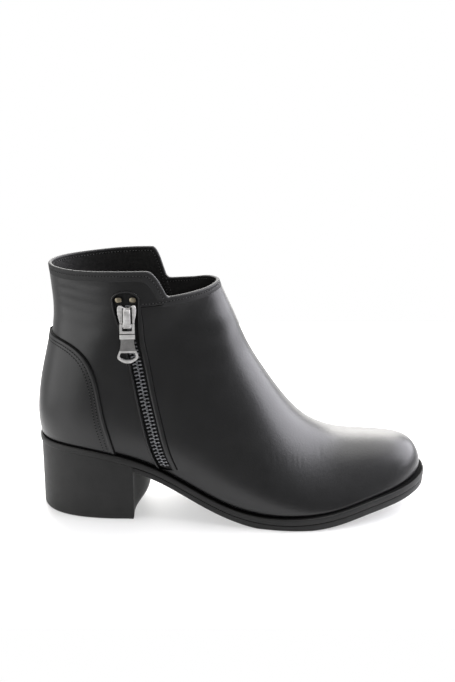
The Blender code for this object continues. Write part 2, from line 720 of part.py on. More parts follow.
def zip_frame():
    """World axes at the pull's pivot: across towards the toe, up the wall, and out of the leather."""
    station, angle = locate(*PIVOT)
    out = Vector(last_normal(station, angle, LATERAL))
    up = Vector((0.0, 0.0, 1.0))
    up = (up - up.dot(out) * out).normalized()
    across = up.cross(out).normalized()
    centre = Vector(to_world(last_point(station, angle, LATERAL)))
    axes = Matrix((across, up, out)).transposed().to_4x4()
    return Matrix.Translation(centre + PIVOT_OUT * MM * out) @ axes


def add_local(name, outline_points, low, high, material, frame, turned=False):
    """A prism in a local frame: an outline across and up pushed out, or turned to push across."""
    mesh = bpy.data.meshes.new(name)
    shaped = bmesh.new()
    rings = []
    for depth in (low, high):
        order = [(depth, a, b) if turned else (a, b, depth) for a, b in outline_points]
        rings.append([shaped.verts.new(Vector(point) * MM) for point in order])
    count = len(outline_points)
    shaped.faces.new(rings[0])
    shaped.faces.new(rings[1])
    for j in range(count):
        k = (j + 1) % count
        shaped.faces.new((rings[0][j], rings[0][k], rings[1][k], rings[1][j]))
    bmesh.ops.recalc_face_normals(shaped, faces=shaped.faces)
    shaped.to_mesh(mesh)
    shaped.free()
    thing = bpy.data.objects.new(name, mesh)
    bpy.context.scene.collection.objects.link(thing)
    thing.data.materials.append(material)
    thing.parent = ROOT
    thing.matrix_world = frame
    return thing


def round_box(half_wide, low, high, radius, steps=4):
    """An upright box with round corners, as outline points."""
    points = []
    corners = ((half_wide, high, 0), (-half_wide, high, 1), (-half_wide, low, 2), (half_wide, low, 3))
    for x, y, quarter in corners:
        centre_x = x - math.copysign(radius, x)
        centre_y = y - radius if quarter < 2 else y + radius
        for step in range(steps + 1):
            turn = (quarter + step / steps) * math.pi / 2
            points.append((centre_x + radius * math.cos(turn), centre_y + radius * math.sin(turn)))
    return points


def mirrored(half):
    """An outline from its half on one side."""
    return list(half) + [(-x, y) for x, y in half[::-1] if x]


def make_slider(metal, frame):
    base, top = SLIDER_BASE - PIVOT_OUT, SLIDER_TOP - PIVOT_OUT
    plate = mirrored([(share * SLIDER_HALF, up) for share, up in SLIDER_PLATE])
    slider = add_local("zip_slider", plate, base, top, metal, frame)
    low = top - BRIDGE_FOOT
    above, below, roof = BRIDGE_ROOM
    inside = [(BRIDGE_OUTSIDE[-1][0], low), (below, low), (below, roof), (above, roof), (above, low)]
    bridge = inside + [(BRIDGE_OUTSIDE[0][0], low)] + list(BRIDGE_OUTSIDE)
    arch = add_local("bridge_former", bridge, -BRIDGE_HALF, BRIDGE_HALF, metal, frame, turned=True)
    arch.hide_render = True
    arch.display_type = "WIRE"
    joined = slider.modifiers.new("bridge", "BOOLEAN")
    joined.operation = "UNION"
    joined.object = arch
    return slider


def make_pull(metal, frame):
    """The pull: a bar under the slider's bridge, a square eye, a plate and a ring end."""
    half_bar = PULL_BAR / 2
    pull = add_local("zip_pull", mirrored(PULL_EDGE), -half_bar, half_bar, metal, frame)
    for name, hole in (("eye_cutter", round_box(*PULL_EYE)), ("ring_cutter", mirrored(PULL_RING))):
        cut(pull, add_local(name, hole, -PULL_BAR, PULL_BAR, metal, frame))
    return pull


def main():
    leather = paint("black_leather", (0.012, 0.012, 0.013), 0.38)
    rubber = paint("black_rubber", (0.010, 0.010, 0.010), 0.55)
    board = paint("lining_leather", (0.020, 0.018, 0.017), 0.70)
    cloth = paint("black_tape", (0.008, 0.008, 0.008), 0.85)
    metal = paint("bright_nickel", (0.62, 0.62, 0.62), 0.22, 1.0)
    brass = paint("pale_brass", (0.75, 0.58, 0.30), 0.28, 1.0)
    upper = make_upper(leather)
    cut(upper, add_prism("keyhole_cutter", keyhole_outline(), *KEYHOLE_CUT, leather))
    make_counter(leather)
    make_midsole(rubber)
    make_outsole(rubber)
    make_heel(rubber)
    make_insole(board)
    make_zip_tape(cloth)
    make_zip_chain(metal)
    make_top_stops(brass)
    frame = zip_frame()
    make_slider(metal, frame)
    make_pull(metal, frame)


for old in list(bpy.data.objects):
    bpy.data.objects.remove(old, do_unlink=True)
ROOT = bpy.data.objects.new("bootie", None)
bpy.context.scene.collection.objects.link(ROOT)
main()
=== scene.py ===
"""Looks of a right ankle bootie: leather on a curved last, layered sole, block heel and side zip.

Tables are in millimetres along the shoe: x from the back of the sole towards the toe, y across
(the lateral, zip side is -y), z up from the floor. to_world turns them into the frame's metres.
"""

import json
import math

import bmesh
import bpy
import numpy as np
from mathutils import Matrix, Vector


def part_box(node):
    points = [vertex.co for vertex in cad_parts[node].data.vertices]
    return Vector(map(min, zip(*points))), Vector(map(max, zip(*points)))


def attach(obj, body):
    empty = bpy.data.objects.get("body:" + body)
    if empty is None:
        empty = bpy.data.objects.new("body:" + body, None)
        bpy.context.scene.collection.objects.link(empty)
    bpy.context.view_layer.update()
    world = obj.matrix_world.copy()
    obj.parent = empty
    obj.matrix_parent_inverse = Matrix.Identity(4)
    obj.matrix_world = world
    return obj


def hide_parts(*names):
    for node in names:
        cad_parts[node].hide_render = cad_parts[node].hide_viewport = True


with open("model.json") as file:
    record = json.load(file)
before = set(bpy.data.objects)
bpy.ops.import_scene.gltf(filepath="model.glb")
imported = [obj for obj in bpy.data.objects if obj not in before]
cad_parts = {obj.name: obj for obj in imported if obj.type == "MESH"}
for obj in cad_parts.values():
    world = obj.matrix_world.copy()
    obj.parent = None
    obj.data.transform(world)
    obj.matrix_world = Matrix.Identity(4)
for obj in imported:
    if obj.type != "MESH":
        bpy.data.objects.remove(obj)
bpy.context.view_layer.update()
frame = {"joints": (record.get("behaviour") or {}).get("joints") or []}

MM = 0.001
LATERAL, MEDIAL = SIDES = -1, 1

# Driving sizes, as in the solids
LEATHER_THICK, LINING_GAP, LINING_THICK, WALL = 1.0, 0.05, 0.9, 2.0
GAP = 0.3
RIM_THICK = 4.2
INSOLE_CLEAR = 1.7
BREAST_X = 66.5
COUNTER_OUT = 1.65

# One row for each section of the upper's outside: its front point on the ridge, its back point on
# the heel curve or on a keel below the sole, both reaches across, the ridge's own place across,
# how far the fullest part sits towards the back point, and how square the oval is.
# front_x, front_z, back_x, back_z, lateral, medial, ridge_y, egg, square
LAST_SECTIONS = (
    (247.0, 10.0, 245.0, 8.0, 1.0, 4.0, 1.5, 0.10, 0.05),
    (257.5, 25.0, 243.0, 3.0, 13.0, 15.5, 1.5, 0.12, 0.06),
    (256.7, 34.8, 235.0, -1.0, 23.5, 25.0, 1.6, 0.14, 0.06),
    (249.9, 43.5, 225.0, -4.0, 31.5, 32.8, 1.8, 0.16, 0.06),
    (236.4, 47.1, 214.0, -6.0, 38.3, 39.3, 2.0, 0.18, 0.06),
    (218.7, 48.3, 202.0, -7.0, 44.0, 43.8, 2.2, 0.20, 0.06),
    (201.6, 49.8, 187.0, -7.5, 47.6, 46.3, 2.2, 0.21, 0.06),
    (183.6, 57.0, 169.0, -8.0, 49.5, 45.8, 2.0, 0.21, 0.05),
    (167.0, 72.5, 147.0, -6.0, 48.8, 43.0, 1.6, 0.21, 0.04),
    (152.4, 93.4, 121.0, 1.0, 45.5, 38.0, 1.0, 0.21, 0.04),
    (141.5, 111.5, 92.0, 14.0, 40.5, 34.5, 0.5, 0.19, 0.04),
    (134.0, 128.5, 58.0, 26.0, 36.8, 33.4, 0.0, 0.15, 0.04),
    (128.4, 141.5, 24.0, 29.0, 34.6, 33.2, 0.0, 0.12, 0.04),
    (125.3, 148.5, 6.1, 50.0, 33.6, 32.8, 0.0, 0.11, 0.045),
    (122.9, 154.0, 4.4, 76.0, 33.2, 32.4, 0.0, 0.09, 0.04),
    (121.3, 158.5, 9.6, 104.0, 33.0, 32.4, 0.0, 0.06, 0.03),
    (120.1, 163.0, 15.0, 132.0, 32.8, 32.4, 0.0, 0.03, 0.015),
    (119.4, 169.0, 14.4, 153.0, 33.0, 32.6, 0.0, 0.01, 0.01),
    (118.7, 178.0, 12.5, 178.0, 33.2, 32.8, 0.0, 0.01, 0.01),
)

# x, how far the rim stands out from the upper
RIM_LEDGE = (
    (0.0, 3.3), (30.0, 2.9), (60.0, 2.6), (95.0, 2.5),
    (150.0, 2.5), (205.0, 2.6), (240.0, 3.2), (262.0, 4.4),
)
# x, height of the rim's top
RIM_TOP = (
    (-6.0, 50.6), (8.0, 51.0), (20.0, 50.8), (37.0, 49.2), (53.0, 46.2), (67.0, 42.0),
    (84.0, 35.2), (102.0, 25.8), (119.0, 17.2), (133.0, 11.8), (148.0, 9.0), (165.0, 8.4),
    (182.0, 9.2), (200.0, 11.6), (217.0, 15.4), (234.0, 18.6), (248.0, 21.3), (264.0, 25.6),
)
# x, height of the underside
TREAD = (
    (60.0, 36.2), (67.0, 33.6), (84.0, 26.6), (102.0, 17.0), (119.0, 8.3), (133.0, 3.0),
    (148.0, 0.0), (165.0, 0.0), (182.0, 0.0), (200.0, 2.2), (217.0, 6.0), (234.0, 9.1),
    (248.0, 11.8), (264.0, 15.6),
)

# The collar's height along x: level at the back, a slanted step, then the lower front edge.
# x, z
COLLAR_BACK = {
    LATERAL: ((6.0, 166.8), (30.0, 166.8), (58.0, 167.7), (84.0, 167.7)),
    MEDIAL: ((6.0, 166.8), (30.0, 166.8), (58.0, 168.2), (84.0, 169.1)),
}
COLLAR_FRONT = {
    LATERAL: ((80.0, 149.6), (98.0, 151.1), (110.0, 152.3), (117.0, 153.5), (124.0, 155.6)),
    MEDIAL: ((80.0, 146.9), (98.0, 149.1), (105.0, 150.3), (110.0, 151.9), (115.0, 154.2), (124.0, 156.4)),
}
STEP_TOP = {LATERAL: 82.2, MEDIAL: 80.6}
STEP_FOOT = {LATERAL: 91.0, MEDIAL: 87.8}
STEP_ROUND_TOP, STEP_ROUND_FOOT = 9.5, 2.0
STEP_LEAN = 0.62

# The heel counter's front edge, from the rim up to the middle of the back: x, z
COUNTER_EDGE = (
    (55.8, 46.0), (52.6, 59.0), (49.4, 72.0), (46.9, 88.0), (44.0, 101.6), (38.2, 113.0),
    (28.6, 119.8), (18.0, 122.0), (11.6, 122.3),
)

# The zip's middle line, top to bottom: x, z
ZIP_LINE = (
    (65.0, 156.0), (66.0, 132.0), (70.6, 109.0), (75.0, 85.0),
    (79.2, 66.0), (84.4, 46.0), (88.2, 36.4),
)
# The opening's reach to the rear and to the front of that line: z, rear, front
KEYHOLE_SIDES = (
    (36.4, 4.6, 4.6), (70.0, 4.6, 4.6), (112.0, 4.6, 4.8), (124.0, 4.9, 5.4), (133.0, 5.4, 6.5),
    (141.0, 6.9, 7.2), (149.8, 8.2, 7.6),
)
KEYHOLE_CROWN = 5.2

# Creases pressed into the upper: side, both ends in the side view, how far the middle
# of the line sags, half width and depth. A negative depth is a ridge.
CREASES = (
    (LATERAL, 15.0, 131.5, 62.0, 133.5, -1.5, 4.2, 0.28),
    (LATERAL, 14.0, 142.5, 48.0, 138.5, 0.8, 2.6, 0.14),
    (LATERAL, 18.0, 150.0, 56.0, 145.0, -0.6, 2.0, 0.12),
    (LATERAL, 14.0, 153.5, 40.0, 154.5, 0.6, 1.8, 0.12),
    (LATERAL, 26.0, 159.5, 56.0, 157.5, 0.3, 1.6, 0.11),
    (LATERAL, 30.0, 136.0, 60.0, 128.0, 0.0, 3.4, -0.10),
    (LATERAL, 100.0, 121.0, 134.0, 127.5, -2.0, 4.8, 0.36),
    (LATERAL, 104.0, 131.5, 130.0, 135.5, -1.0, 4.4, -0.22),
    (LATERAL, 92.0, 104.0, 128.0, 112.0, -1.5, 5.8, 0.2),
    (LATERAL, 154.0, 51.0, 155.0, 41.0, 0.3, 1.1, 0.04),
    (LATERAL, 159.0, 50.0, 159.8, 38.5, 0.3, 1.0, 0.045),
    (LATERAL, 162.5, 49.0, 163.3, 38.0, -0.3, 0.9, 0.03),
    (LATERAL, 169.0, 47.0, 169.4, 38.0, 0.3, 1.1, 0.032),
    (LATERAL, 172.3, 46.5, 172.6, 37.0, 0.2, 0.9, 0.026),
    (LATERAL, 176.0, 46.0, 176.1, 37.0, -0.2, 1.0, 0.03),
    (LATERAL, 189.0, 50.0, 188.6, 41.0, -0.2, 1.2, 0.03),
    (MEDIAL, 15.0, 131.0, 66.0, 133.0, -1.2, 4.2, 0.34),
    (MEDIAL, 14.0, 141.0, 58.0, 143.0, 0.8, 2.6, 0.16),
    (MEDIAL, 14.0, 151.0, 60.0, 152.5, -0.6, 2.4, 0.12),
    (MEDIAL, 98.0, 120.0, 134.0, 127.5, -2.0, 4.4, 0.50),
    (MEDIAL, 94.0, 108.0, 128.0, 114.0, -1.5, 5.0, 0.26),
    (MEDIAL, 160.0, 44.0, 161.0, 31.0, 0.3, 1.1, 0.045),
    (MEDIAL, 168.0, 43.0, 168.6, 29.0, -0.3, 1.0, 0.05),
    (MEDIAL, 176.0, 43.0, 176.0, 31.0, 0.2, 1.1, 0.04),
)
# A crease's raised shoulders: share of its depth, and half widths from its middle
CREASE_SHOULDER, SHOULDER_AT = 0.45, 1.9
# The leather's soft unevenness: height, a shift, and the lengths along x and z of its two waves
WAVE_HIGH, WAVE_SHIFT = 0.07, 1.3
WAVES = ((9.0, 14.0), (-17.0, 11.0))
# The leather's foot curls in over the rim: how deep, and up to what height
CURL_DEEP, CURL_HIGH = 0.7, 2.4

# Zip parts
CHAIN_TOP, TOOTH_PITCH = 146.0, 2.5
TAPE_MARGIN, TAPE_THICK, TAPE_END = 3.0, 0.8, 1.0
STOP_PLACES = (("zip_top_stop_rear", -4.7), ("zip_top_stop_front", 4.3))
STOP_LOW, STOP_HIGH, STOP_HALF = 148.4, 151.8, 2.1
PIVOT_OUT = 3.0

# Edges that turn by more degrees than this stay sharp, piece by piece
SHARP, SHARP_LEATHER, SHARP_LAYER, SHARP_HEEL, SHARP_TOOTH = 50, 60, 45, 42, 55
SHARP_PRISM, SHARP_CUT, SHARP_ROUNDED = 30, 40, 60
# Halvings in a search for a root, and points along an oval to find where it is fullest
HALVINGS, OVAL_FINE = 46, 361


class Spline:
    """A natural cubic spline through table rows."""

    def __init__(self, knots, values):
        self.knots = np.asarray(knots, float)
        self.values = np.asarray(values, float)
        count = len(self.knots)
        gaps = np.diff(self.knots)
        matrix = np.eye(count)
        right = np.zeros_like(self.values)
        for i in range(1, count - 1):
            matrix[i, i - 1:i + 2] = gaps[i - 1], 2 * (gaps[i - 1] + gaps[i]), gaps[i]
            after = (self.values[i + 1] - self.values[i]) / gaps[i]
            before = (self.values[i] - self.values[i - 1]) / gaps[i - 1]
            right[i] = 6 * (after - before)
        self.bends = np.linalg.solve(matrix, right)

    def __call__(self, at):
        at = np.asarray(at, float)
        i = np.clip(np.searchsorted(self.knots, at) - 1, 0, len(self.knots) - 2)
        gap = self.knots[i + 1] - self.knots[i]
        a = (self.knots[i + 1] - at) / gap
        b = 1 - a
        if self.values.ndim == 2:
            a, b, gap = a[..., None], b[..., None], gap[..., None]
        bend = (a ** 3 - a) * self.bends[i] + (b ** 3 - b) * self.bends[i + 1]
        return a * self.values[i] + b * self.values[i + 1] + bend * gap * gap / 6


def table_spline(rows):
    table = np.array(rows)
    return Spline(table[:, 0], table[:, 1] if table.shape[1] == 2 else table[:, 1:])


def unit(vectors):
    return vectors / np.linalg.norm(vectors, axis=-1, keepdims=True)


def run_lengths(points):
    """Lengths along a polyline, up to each of its points."""
    steps = np.linalg.norm(np.diff(points, axis=0), axis=1)
    return np.concatenate([[0.0], np.cumsum(steps)])


def oval(angle, egg, square):
    """Half a section's reach across, from its back point (0) to its front point (pi)."""
    return np.sin(angle) + egg * np.sin(2 * angle) + square * np.sin(3 * angle)


def last_spline():
    rows = np.array(LAST_SECTIONS)
    front = np.hypot(*np.diff(rows[:, 0:2], axis=0).T)
    back = np.hypot(*np.diff(rows[:, 2:4], axis=0).T)
    stations = np.concatenate([[0.0], np.cumsum((front + back) / 2)])
    angles = np.linspace(0.0, math.pi, OVAL_FINE)
    fullest = oval(angles[None], rows[:, 7:8], rows[:, 8:9]).max(axis=1)
    lateral, medial, ridge = rows[:, 4], rows[:, 5], rows[:, 6]
    reaches = np.column_stack([(lateral + ridge) / fullest, (medial - ridge) / fullest])
    return Spline(stations, np.column_stack([rows[:, 0:4], reaches, rows[:, 6:9]]))


LAST = last_spline()
STATIONS = LAST.knots
rim_top = table_spline(RIM_TOP)
tread_line = table_spline(TREAD)
rim_ledge = table_spline(RIM_LEDGE)
collar_back = {side: table_spline(rows) for side, rows in COLLAR_BACK.items()}
collar_front = {side: table_spline(rows) for side, rows in COLLAR_FRONT.items()}
keyhole_sides = table_spline(KEYHOLE_SIDES)
zip_x = Spline([-row[1] for row in ZIP_LINE], [row[0] for row in ZIP_LINE])


def tread(x):
    return np.maximum(tread_line(x), 0.0)


def last_point(station, angle, side):
    station, angle = np.broadcast_arrays(np.asarray(station, float), np.asarray(angle, float))
    values = np.moveaxis(LAST(station), -1, 0)
    front_x, front_z, back_x, back_z, lateral, medial, ridge, egg, square = values
    share = (1 - np.cos(angle)) / 2
    reach = lateral if side == LATERAL else medial
    across = ridge + side * reach * oval(angle, egg, square)
    x = back_x + share * (front_x - back_x)
    return np.stack([x, across, back_z + share * (front_z - back_z)], -1)


def last_normal(station, angle, side):
    step = 1e-3
    along = last_point(station + step, angle, side) - last_point(station - step, angle, side)
    around = last_point(station, angle + step, side) - last_point(station, angle - step, side)
    return unit(side * np.cross(along, around))


def root(function, low, high):
    """Where a function that changes sign once is zero, for each pair of ends."""
    low, high = np.broadcast_arrays(np.asarray(low, float), np.asarray(high, float))
    start = function(low) > 0
    for _ in range(HALVINGS):
        middle = (low + high) / 2
        same = (function(middle) > 0) == start
        low, high = np.where(same, middle, low), np.where(same, high, middle)
    return (low + high) / 2


def over_rim(station, angle):
    point = last_point(station, angle, LATERAL)
    return point[..., 2] - rim_top(point[..., 0]) - GAP


TOE_TIP = root(lambda s: over_rim(s, math.pi), STATIONS[0], STATIONS[2])
HEEL_BACK = root(lambda s: over_rim(s, 0.0), STATIONS[11], STATIONS[15])


def feather_angle(station):
    """Where a section leaves the rim, from the toe tip to the back of the heel."""
    station = np.asarray(station, float)
    zero = np.zeros_like(station)
    return root(lambda a: over_rim(station, a), zero, zero + math.pi)


def lower(a, b, reach):
    """The lower of two heights, with the corner between them rounded."""
    share = np.clip(0.5 + 0.5 * (b - a) / reach, 0.0, 1.0)
    return b + share * (a - b) - reach * share * (1 - share)


def collar_height(x, side):
    back_end, back_top = COLLAR_BACK[side][-1]
    front_end, front_top = COLLAR_FRONT[side][0]
    slope = (back_top - front_top) / (STEP_FOOT[side] - STEP_TOP[side])
    slant = back_top - slope * (x - STEP_TOP[side])
    back = lower(collar_back[side](np.minimum(x, back_end)), slant, STEP_ROUND_TOP)
    front = collar_front[side](np.maximum(x, front_end))
    return -lower(-back, -front, STEP_ROUND_FOOT)


def collar_station(angle, side, inset=0.0):
    """The section on which the collar, or a line at a distance below its edge, meets an angle."""
    angle = np.asarray(angle, float)
    fade = np.sin(angle)

    def over(station):
        point = last_point(station, angle, side)
        x = point[..., 0] + STEP_LEAN * inset
        height = fade * collar_height(x, side) + (1 - fade) * collar_height(x, LATERAL)
        return point[..., 2] - height + inset

    return root(over, np.full_like(angle, STATIONS[12]), np.full_like(angle, STATIONS[-1]))


def locate(x, z):
    """The section and angle whose side view is this point."""
    x, z = np.broadcast_arrays(np.asarray(x, float), np.asarray(z, float))

    def beside(station):
        front_x, front_z, back_x, back_z = np.moveaxis(LAST(station)[..., 0:4], -1, 0)
        return (front_x - back_x) * (z - back_z) - (front_z - back_z) * (x - back_x)

    station = root(beside, np.full(x.shape, STATIONS[1]), np.full(x.shape, STATIONS[-1]))
    front_x, front_z, back_x, back_z = np.moveaxis(LAST(station)[..., 0:4], -1, 0)
    run, rise = front_x - back_x, front_z - back_z
    share = ((x - back_x) * run + (z - back_z) * rise) / (run * run + rise * rise)
    return station, np.arccos(1 - 2 * np.clip(share, 0.0, 1.0))


def relief(points, side):
    """How far the leather stands out from the last: creases, a soft unevenness, the tucked foot."""
    x, z = points[..., 0], points[..., 2]
    first, second = (x / along + z / up for along, up in WAVES)
    out = WAVE_HIGH * np.sin(first) * np.sin(second + WAVE_SHIFT)
    for row_side, x0, z0, x1, z1, sag, half, depth in CREASES:
        if row_side != side:
            continue
        run, rise = x1 - x0, z1 - z0
        length = math.hypot(run, rise)
        along = np.clip(((x - x0) * run + (z - z0) * rise) / length ** 2, 0.0, 1.0)
        off = ((x - x0) * -rise + (z - z0) * run) / length - 4 * sag * along * (1 - along)
        trough = np.exp(-(off / half) ** 2)
        shoulder = np.exp(-((np.abs(off) - SHOULDER_AT * half) / half) ** 2)
        out -= depth * np.sin(math.pi * along) * (trough - CREASE_SHOULDER * shoulder)
    return out - tuck(points)


def tuck(points):
    """How far the leather curls in under itself just over the rim."""
    high = points[..., 2] - rim_top(points[..., 0]) - GAP
    return CURL_DEEP * np.clip(1 - high / CURL_HIGH, 0.0, 1.0) ** 2


def skin(station, angle, side, out):
    """A point on the leather's face, moved out along the last's normal."""
    points = last_point(station, angle, side)
    lift = relief(points, side) + out
    return points + lift[..., None] * last_normal(station, angle, side)


def wall_point(x, z, out, side=LATERAL):
    station, angle = locate(x, z)
    return skin(station, angle, side, out)


def even_steps(points, count):
    """Row numbers that cut a polyline into equal lengths."""
    lengths = run_lengths(points)
    return np.interp(np.linspace(0.0, lengths[-1], count), lengths, np.arange(len(points)))


def pick(values, picks):
    """Rows of a table at fractional row numbers."""
    index = np.arange(len(values))
    return np.column_stack([np.interp(picks, index, column) for column in values.T])


FEATHER_FINE = 900
feather_shares = (1 - np.cos(np.linspace(0.0, math.pi, FEATHER_FINE))) / 2
feather_stations = TOE_TIP + (HEEL_BACK - TOE_TIP) * feather_shares
feather_angles = feather_angle(feather_stations)
feather_angles[0], feather_angles[-1] = math.pi, 0.0
feather_line = {s: last_point(feather_stations, feather_angles, s) for s in SIDES}


def outline(side, more):
    """The rim's outline from above, toe tip to heel back, moved out by a little more or less."""
    edge = feather_line[side][:, 0:2]
    run = np.gradient(edge, axis=0)
    normal = side * np.column_stack([run[:, 1], -run[:, 0]])
    normal[0], normal[-1] = (1.0, 0.0), (-1.0, 0.0)
    out = rim_ledge(feather_line[LATERAL][:, 0]) + more
    return edge + out[:, None] * unit(normal)


def plan_middle():
    rims = np.vstack([outline(side, 0.0) for side in SIDES])
    return (rims.min(axis=0) + rims.max(axis=0)) / 2


MIDDLE_X, MIDDLE_Y = plan_middle()


def to_world(points):
    return (np.asarray(points, float) - (MIDDLE_X, MIDDLE_Y, 0.0)) * MM


# Mesh helpers


def link_mesh(name, points, faces, material, sharp):
    """A smooth-shaded object from points in the frame's metres, its faces turned outwards."""
    mesh = bpy.data.meshes.new(name)
    rings = [[a for k, a in enumerate(face) if a != face[k - 1]] for face in faces]
    mesh.from_pydata(points, [], [ring for ring in rings if len(set(ring)) > 2])
    mesh.validate()
    shaped = bmesh.new()
    shaped.from_mesh(mesh)
    bmesh.ops.recalc_face_normals(shaped, faces=shaped.faces)
    shaped.to_mesh(mesh)
    shaped.free()
    smooth(mesh, sharp)
    thing = bpy.data.objects.new(name, mesh)
    bpy.context.scene.collection.objects.link(thing)
    mesh.materials.append(material)
    return thing


def smooth(mesh, sharp):
    mesh.shade_smooth()
    mesh.set_sharp_from_angle(angle=math.radians(sharp))


def add_mesh(name, points, faces, material, sharp=SHARP):
    return link_mesh(name, to_world(points), faces, material, sharp)


def quads(ids):
    """Faces between the rows of a grid of point numbers."""
    ids = np.asarray(ids)
    corners = (ids[:-1, :-1], ids[:-1, 1:], ids[1:, 1:], ids[1:, :-1])
    return np.stack(corners, -1).reshape(-1, 4).tolist()


def grid_ids(rows, columns, first=0):
    return first + np.arange(rows * columns).reshape(rows, columns)


def tube_faces(ids, capped=True):
    """Faces round a tube from its grid of point numbers, with flat caps or open ends."""
    sides = quads(np.column_stack([ids, ids[:, :1]]))
    return sides + [ids[0].tolist(), ids[-1].tolist()] if capped else sides


def edge_and_shade_look(thing, faces):
    """Gives faces the dark look of a cut edge, also used as painted shade, as the second material of their
    mesh.
    """
    thing.data.materials.append(EDGE_AND_SHADE)
    for face in faces:
        face.material_index = 1


def add_tube(name, rings, material, closed=False, edge=()):
    """Rings of points joined along a path that is closed or has capped ends. Edge lists the
    strips, by their place round a ring, that show a cut edge."""
    count, around = rings.shape[:2]
    ids = grid_ids(count, around)
    path = np.vstack([ids, ids[:1]]) if closed else ids
    tube = add_mesh(name, rings.reshape(-1, 3), tube_faces(path, not closed), material)
    edge_and_shade_look(tube, [face for face in tube.data.polygons if face.index % around in edge])
    return tube


def applied(thing, sharp=SHARP_CUT):
    """Puts an object's modifiers into its mesh."""
    graph = bpy.context.evaluated_depsgraph_get()
    mesh = bpy.data.meshes.new_from_object(thing.evaluated_get(graph))
    thing.modifiers.clear()
    thing.data = mesh
    smooth(mesh, sharp)
    return thing


def combine(thing, other, operation):
    """Cuts another solid out of a piece or joins it on, and removes that solid."""
    modifier = thing.modifiers.new(operation, "BOOLEAN")
    modifier.operation = operation
    modifier.object = other
    modifier.solver = "MANIFOLD"
    modifier.material_mode = "TRANSFER"
    applied(thing)
    bpy.data.objects.remove(other, do_unlink=True)
    return thing


def finish_piece(thing, slot, *nodes, body="boot"):
    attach(thing, body)
    if nodes:
        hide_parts(*nodes)
    return thing


# Materials


# Where along a noise a tint's two colours end, and the noise's own roughness
TINT_ENDS = (0.3, 0.7)
NOISE_ROUGH = 0.55


class Paint:
    """A Principled material and short ways to add its texture nodes."""

    def __init__(self, name, colour, roughness, metallic=0.0):
        self.material = bpy.data.materials.new(name)
        self.material.use_nodes = True
        self.tree = self.material.node_tree
        self.shader = self.tree.nodes["Principled BSDF"]
        self.set("Base Color", (*colour, 1.0))
        self.set("Roughness", roughness)
        self.set("Metallic", metallic)
        self.place = self.tree.nodes.new("ShaderNodeTexCoord").outputs["Object"]

    def set(self, socket, value):
        self.shader.inputs[socket].default_value = value

    def node(self, kind, **values):
        node = self.tree.nodes.new("ShaderNode" + kind)
        for key, value in values.items():
            if key in node.inputs:
                node.inputs[key].default_value = value
            else:
                setattr(node, key, value)
        return node

    def join(self, output, socket):
        self.tree.links.new(output, socket)

    def noise(self, size_mm, detail=3.0):
        node = self.node("TexNoise", Scale=1 / (size_mm * MM), Detail=detail, Roughness=NOISE_ROUGH)
        self.join(self.place, node.inputs["Vector"])
        return node.outputs["Fac"]

    def cells(self, size_mm):
        node = self.node("TexVoronoi", Scale=1 / (size_mm * MM), feature="DISTANCE_TO_EDGE")
        self.join(self.place, node.inputs["Vector"])
        return node.outputs["Distance"]

    def ribs(self, size_mm, axis):
        """Ribs at a pitch. A wave of scale 1 is pi / 10 long."""
        node = self.node("TexWave", Scale=math.pi / 10 / (size_mm * MM), bands_direction=axis)
        self.join(self.place, node.inputs["Vector"])
        return node.outputs["Fac"]

    def spread(self, source, low, high, socket):
        """A texture that runs a shader number between two values."""
        node = self.node("MapRange")
        node.inputs["To Min"].default_value = low
        node.inputs["To Max"].default_value = high
        self.join(source, node.inputs["Value"])
        self.join(node.outputs["Result"], self.shader.inputs[socket])

    def tint(self, source, dark, pale):
        node = self.node("ValToRGB")
        ends = node.color_ramp.elements
        for end, position, colour in zip(ends, TINT_ENDS, (dark, pale)):
            end.position, end.color = position, (*colour, 1.0)
        self.join(source, node.inputs["Fac"])
        self.join(node.outputs["Color"], self.shader.inputs["Base Color"])

    def bump(self, *layers):
        """Height layers of (texture, depth in mm), one over the other."""
        before = None
        for source, depth in layers:
            node = self.node("Bump", Distance=depth * MM)
            self.join(source, node.inputs["Height"])
            if before:
                self.join(before, node.inputs["Normal"])
            before = node.outputs["Normal"]
        self.join(before, self.shader.inputs["Normal"])


def leather_paint(name, sheen):
    """Black leather with its two ends of roughness."""
    paint = Paint(name, (0.005, 0.005, 0.0055), sheen[0])
    paint.tint(paint.noise(14.0), (0.0038, 0.0038, 0.0042), (0.0062, 0.0062, 0.0066))
    paint.spread(paint.noise(6.0, 4.0), *sheen, "Roughness")
    paint.bump((paint.cells(0.55), 0.035), (paint.noise(1.6, 4.0), 0.05))
    return paint.material


def lining_paint():
    paint = Paint("lining_leather", (0.02, 0.018, 0.017), 0.7)
    paint.tint(paint.noise(2.4, 4.0), (0.003, 0.0029, 0.0028), (0.011, 0.0104, 0.0098))
    paint.spread(paint.noise(3.0), 0.5, 0.7, "Roughness")
    paint.bump((paint.cells(0.9), 0.12), (paint.noise(2.2), 0.12))
    paint.set("Specular IOR Level", 0.3)
    return paint.material


def rubber_paint():
    paint = Paint("black_rubber", (0.011, 0.011, 0.011), 0.5)
    paint.tint(paint.noise(11.0), (0.0045, 0.0045, 0.0044), (0.0085, 0.0085, 0.0082))
    paint.spread(paint.noise(4.0, 4.0), 0.42, 0.58, "Roughness")
    paint.bump((paint.noise(0.35, 4.0), 0.03), (paint.noise(3.5), 0.03))
    paint.set("Specular IOR Level", 0.34)
    return paint.material


def tape_paint():
    paint = Paint("woven_tape", (0.007, 0.007, 0.0075), 0.85)
    paint.tint(paint.noise(0.8), (0.0045, 0.0045, 0.005), (0.0105, 0.0105, 0.011))
    paint.bump((paint.ribs(0.55, "Z"), 0.12), (paint.ribs(0.7, "X"), 0.12))
    paint.set("Sheen Weight", 0.15)
    return paint.material


def thread_paint():
    paint = Paint("black_thread", (0.012, 0.012, 0.012), 0.5)
    paint.tint(paint.noise(1.2), (0.016, 0.016, 0.016), (0.034, 0.034, 0.034))
    paint.bump((paint.ribs(0.3, "DIAGONAL"), 0.08))
    return paint.material
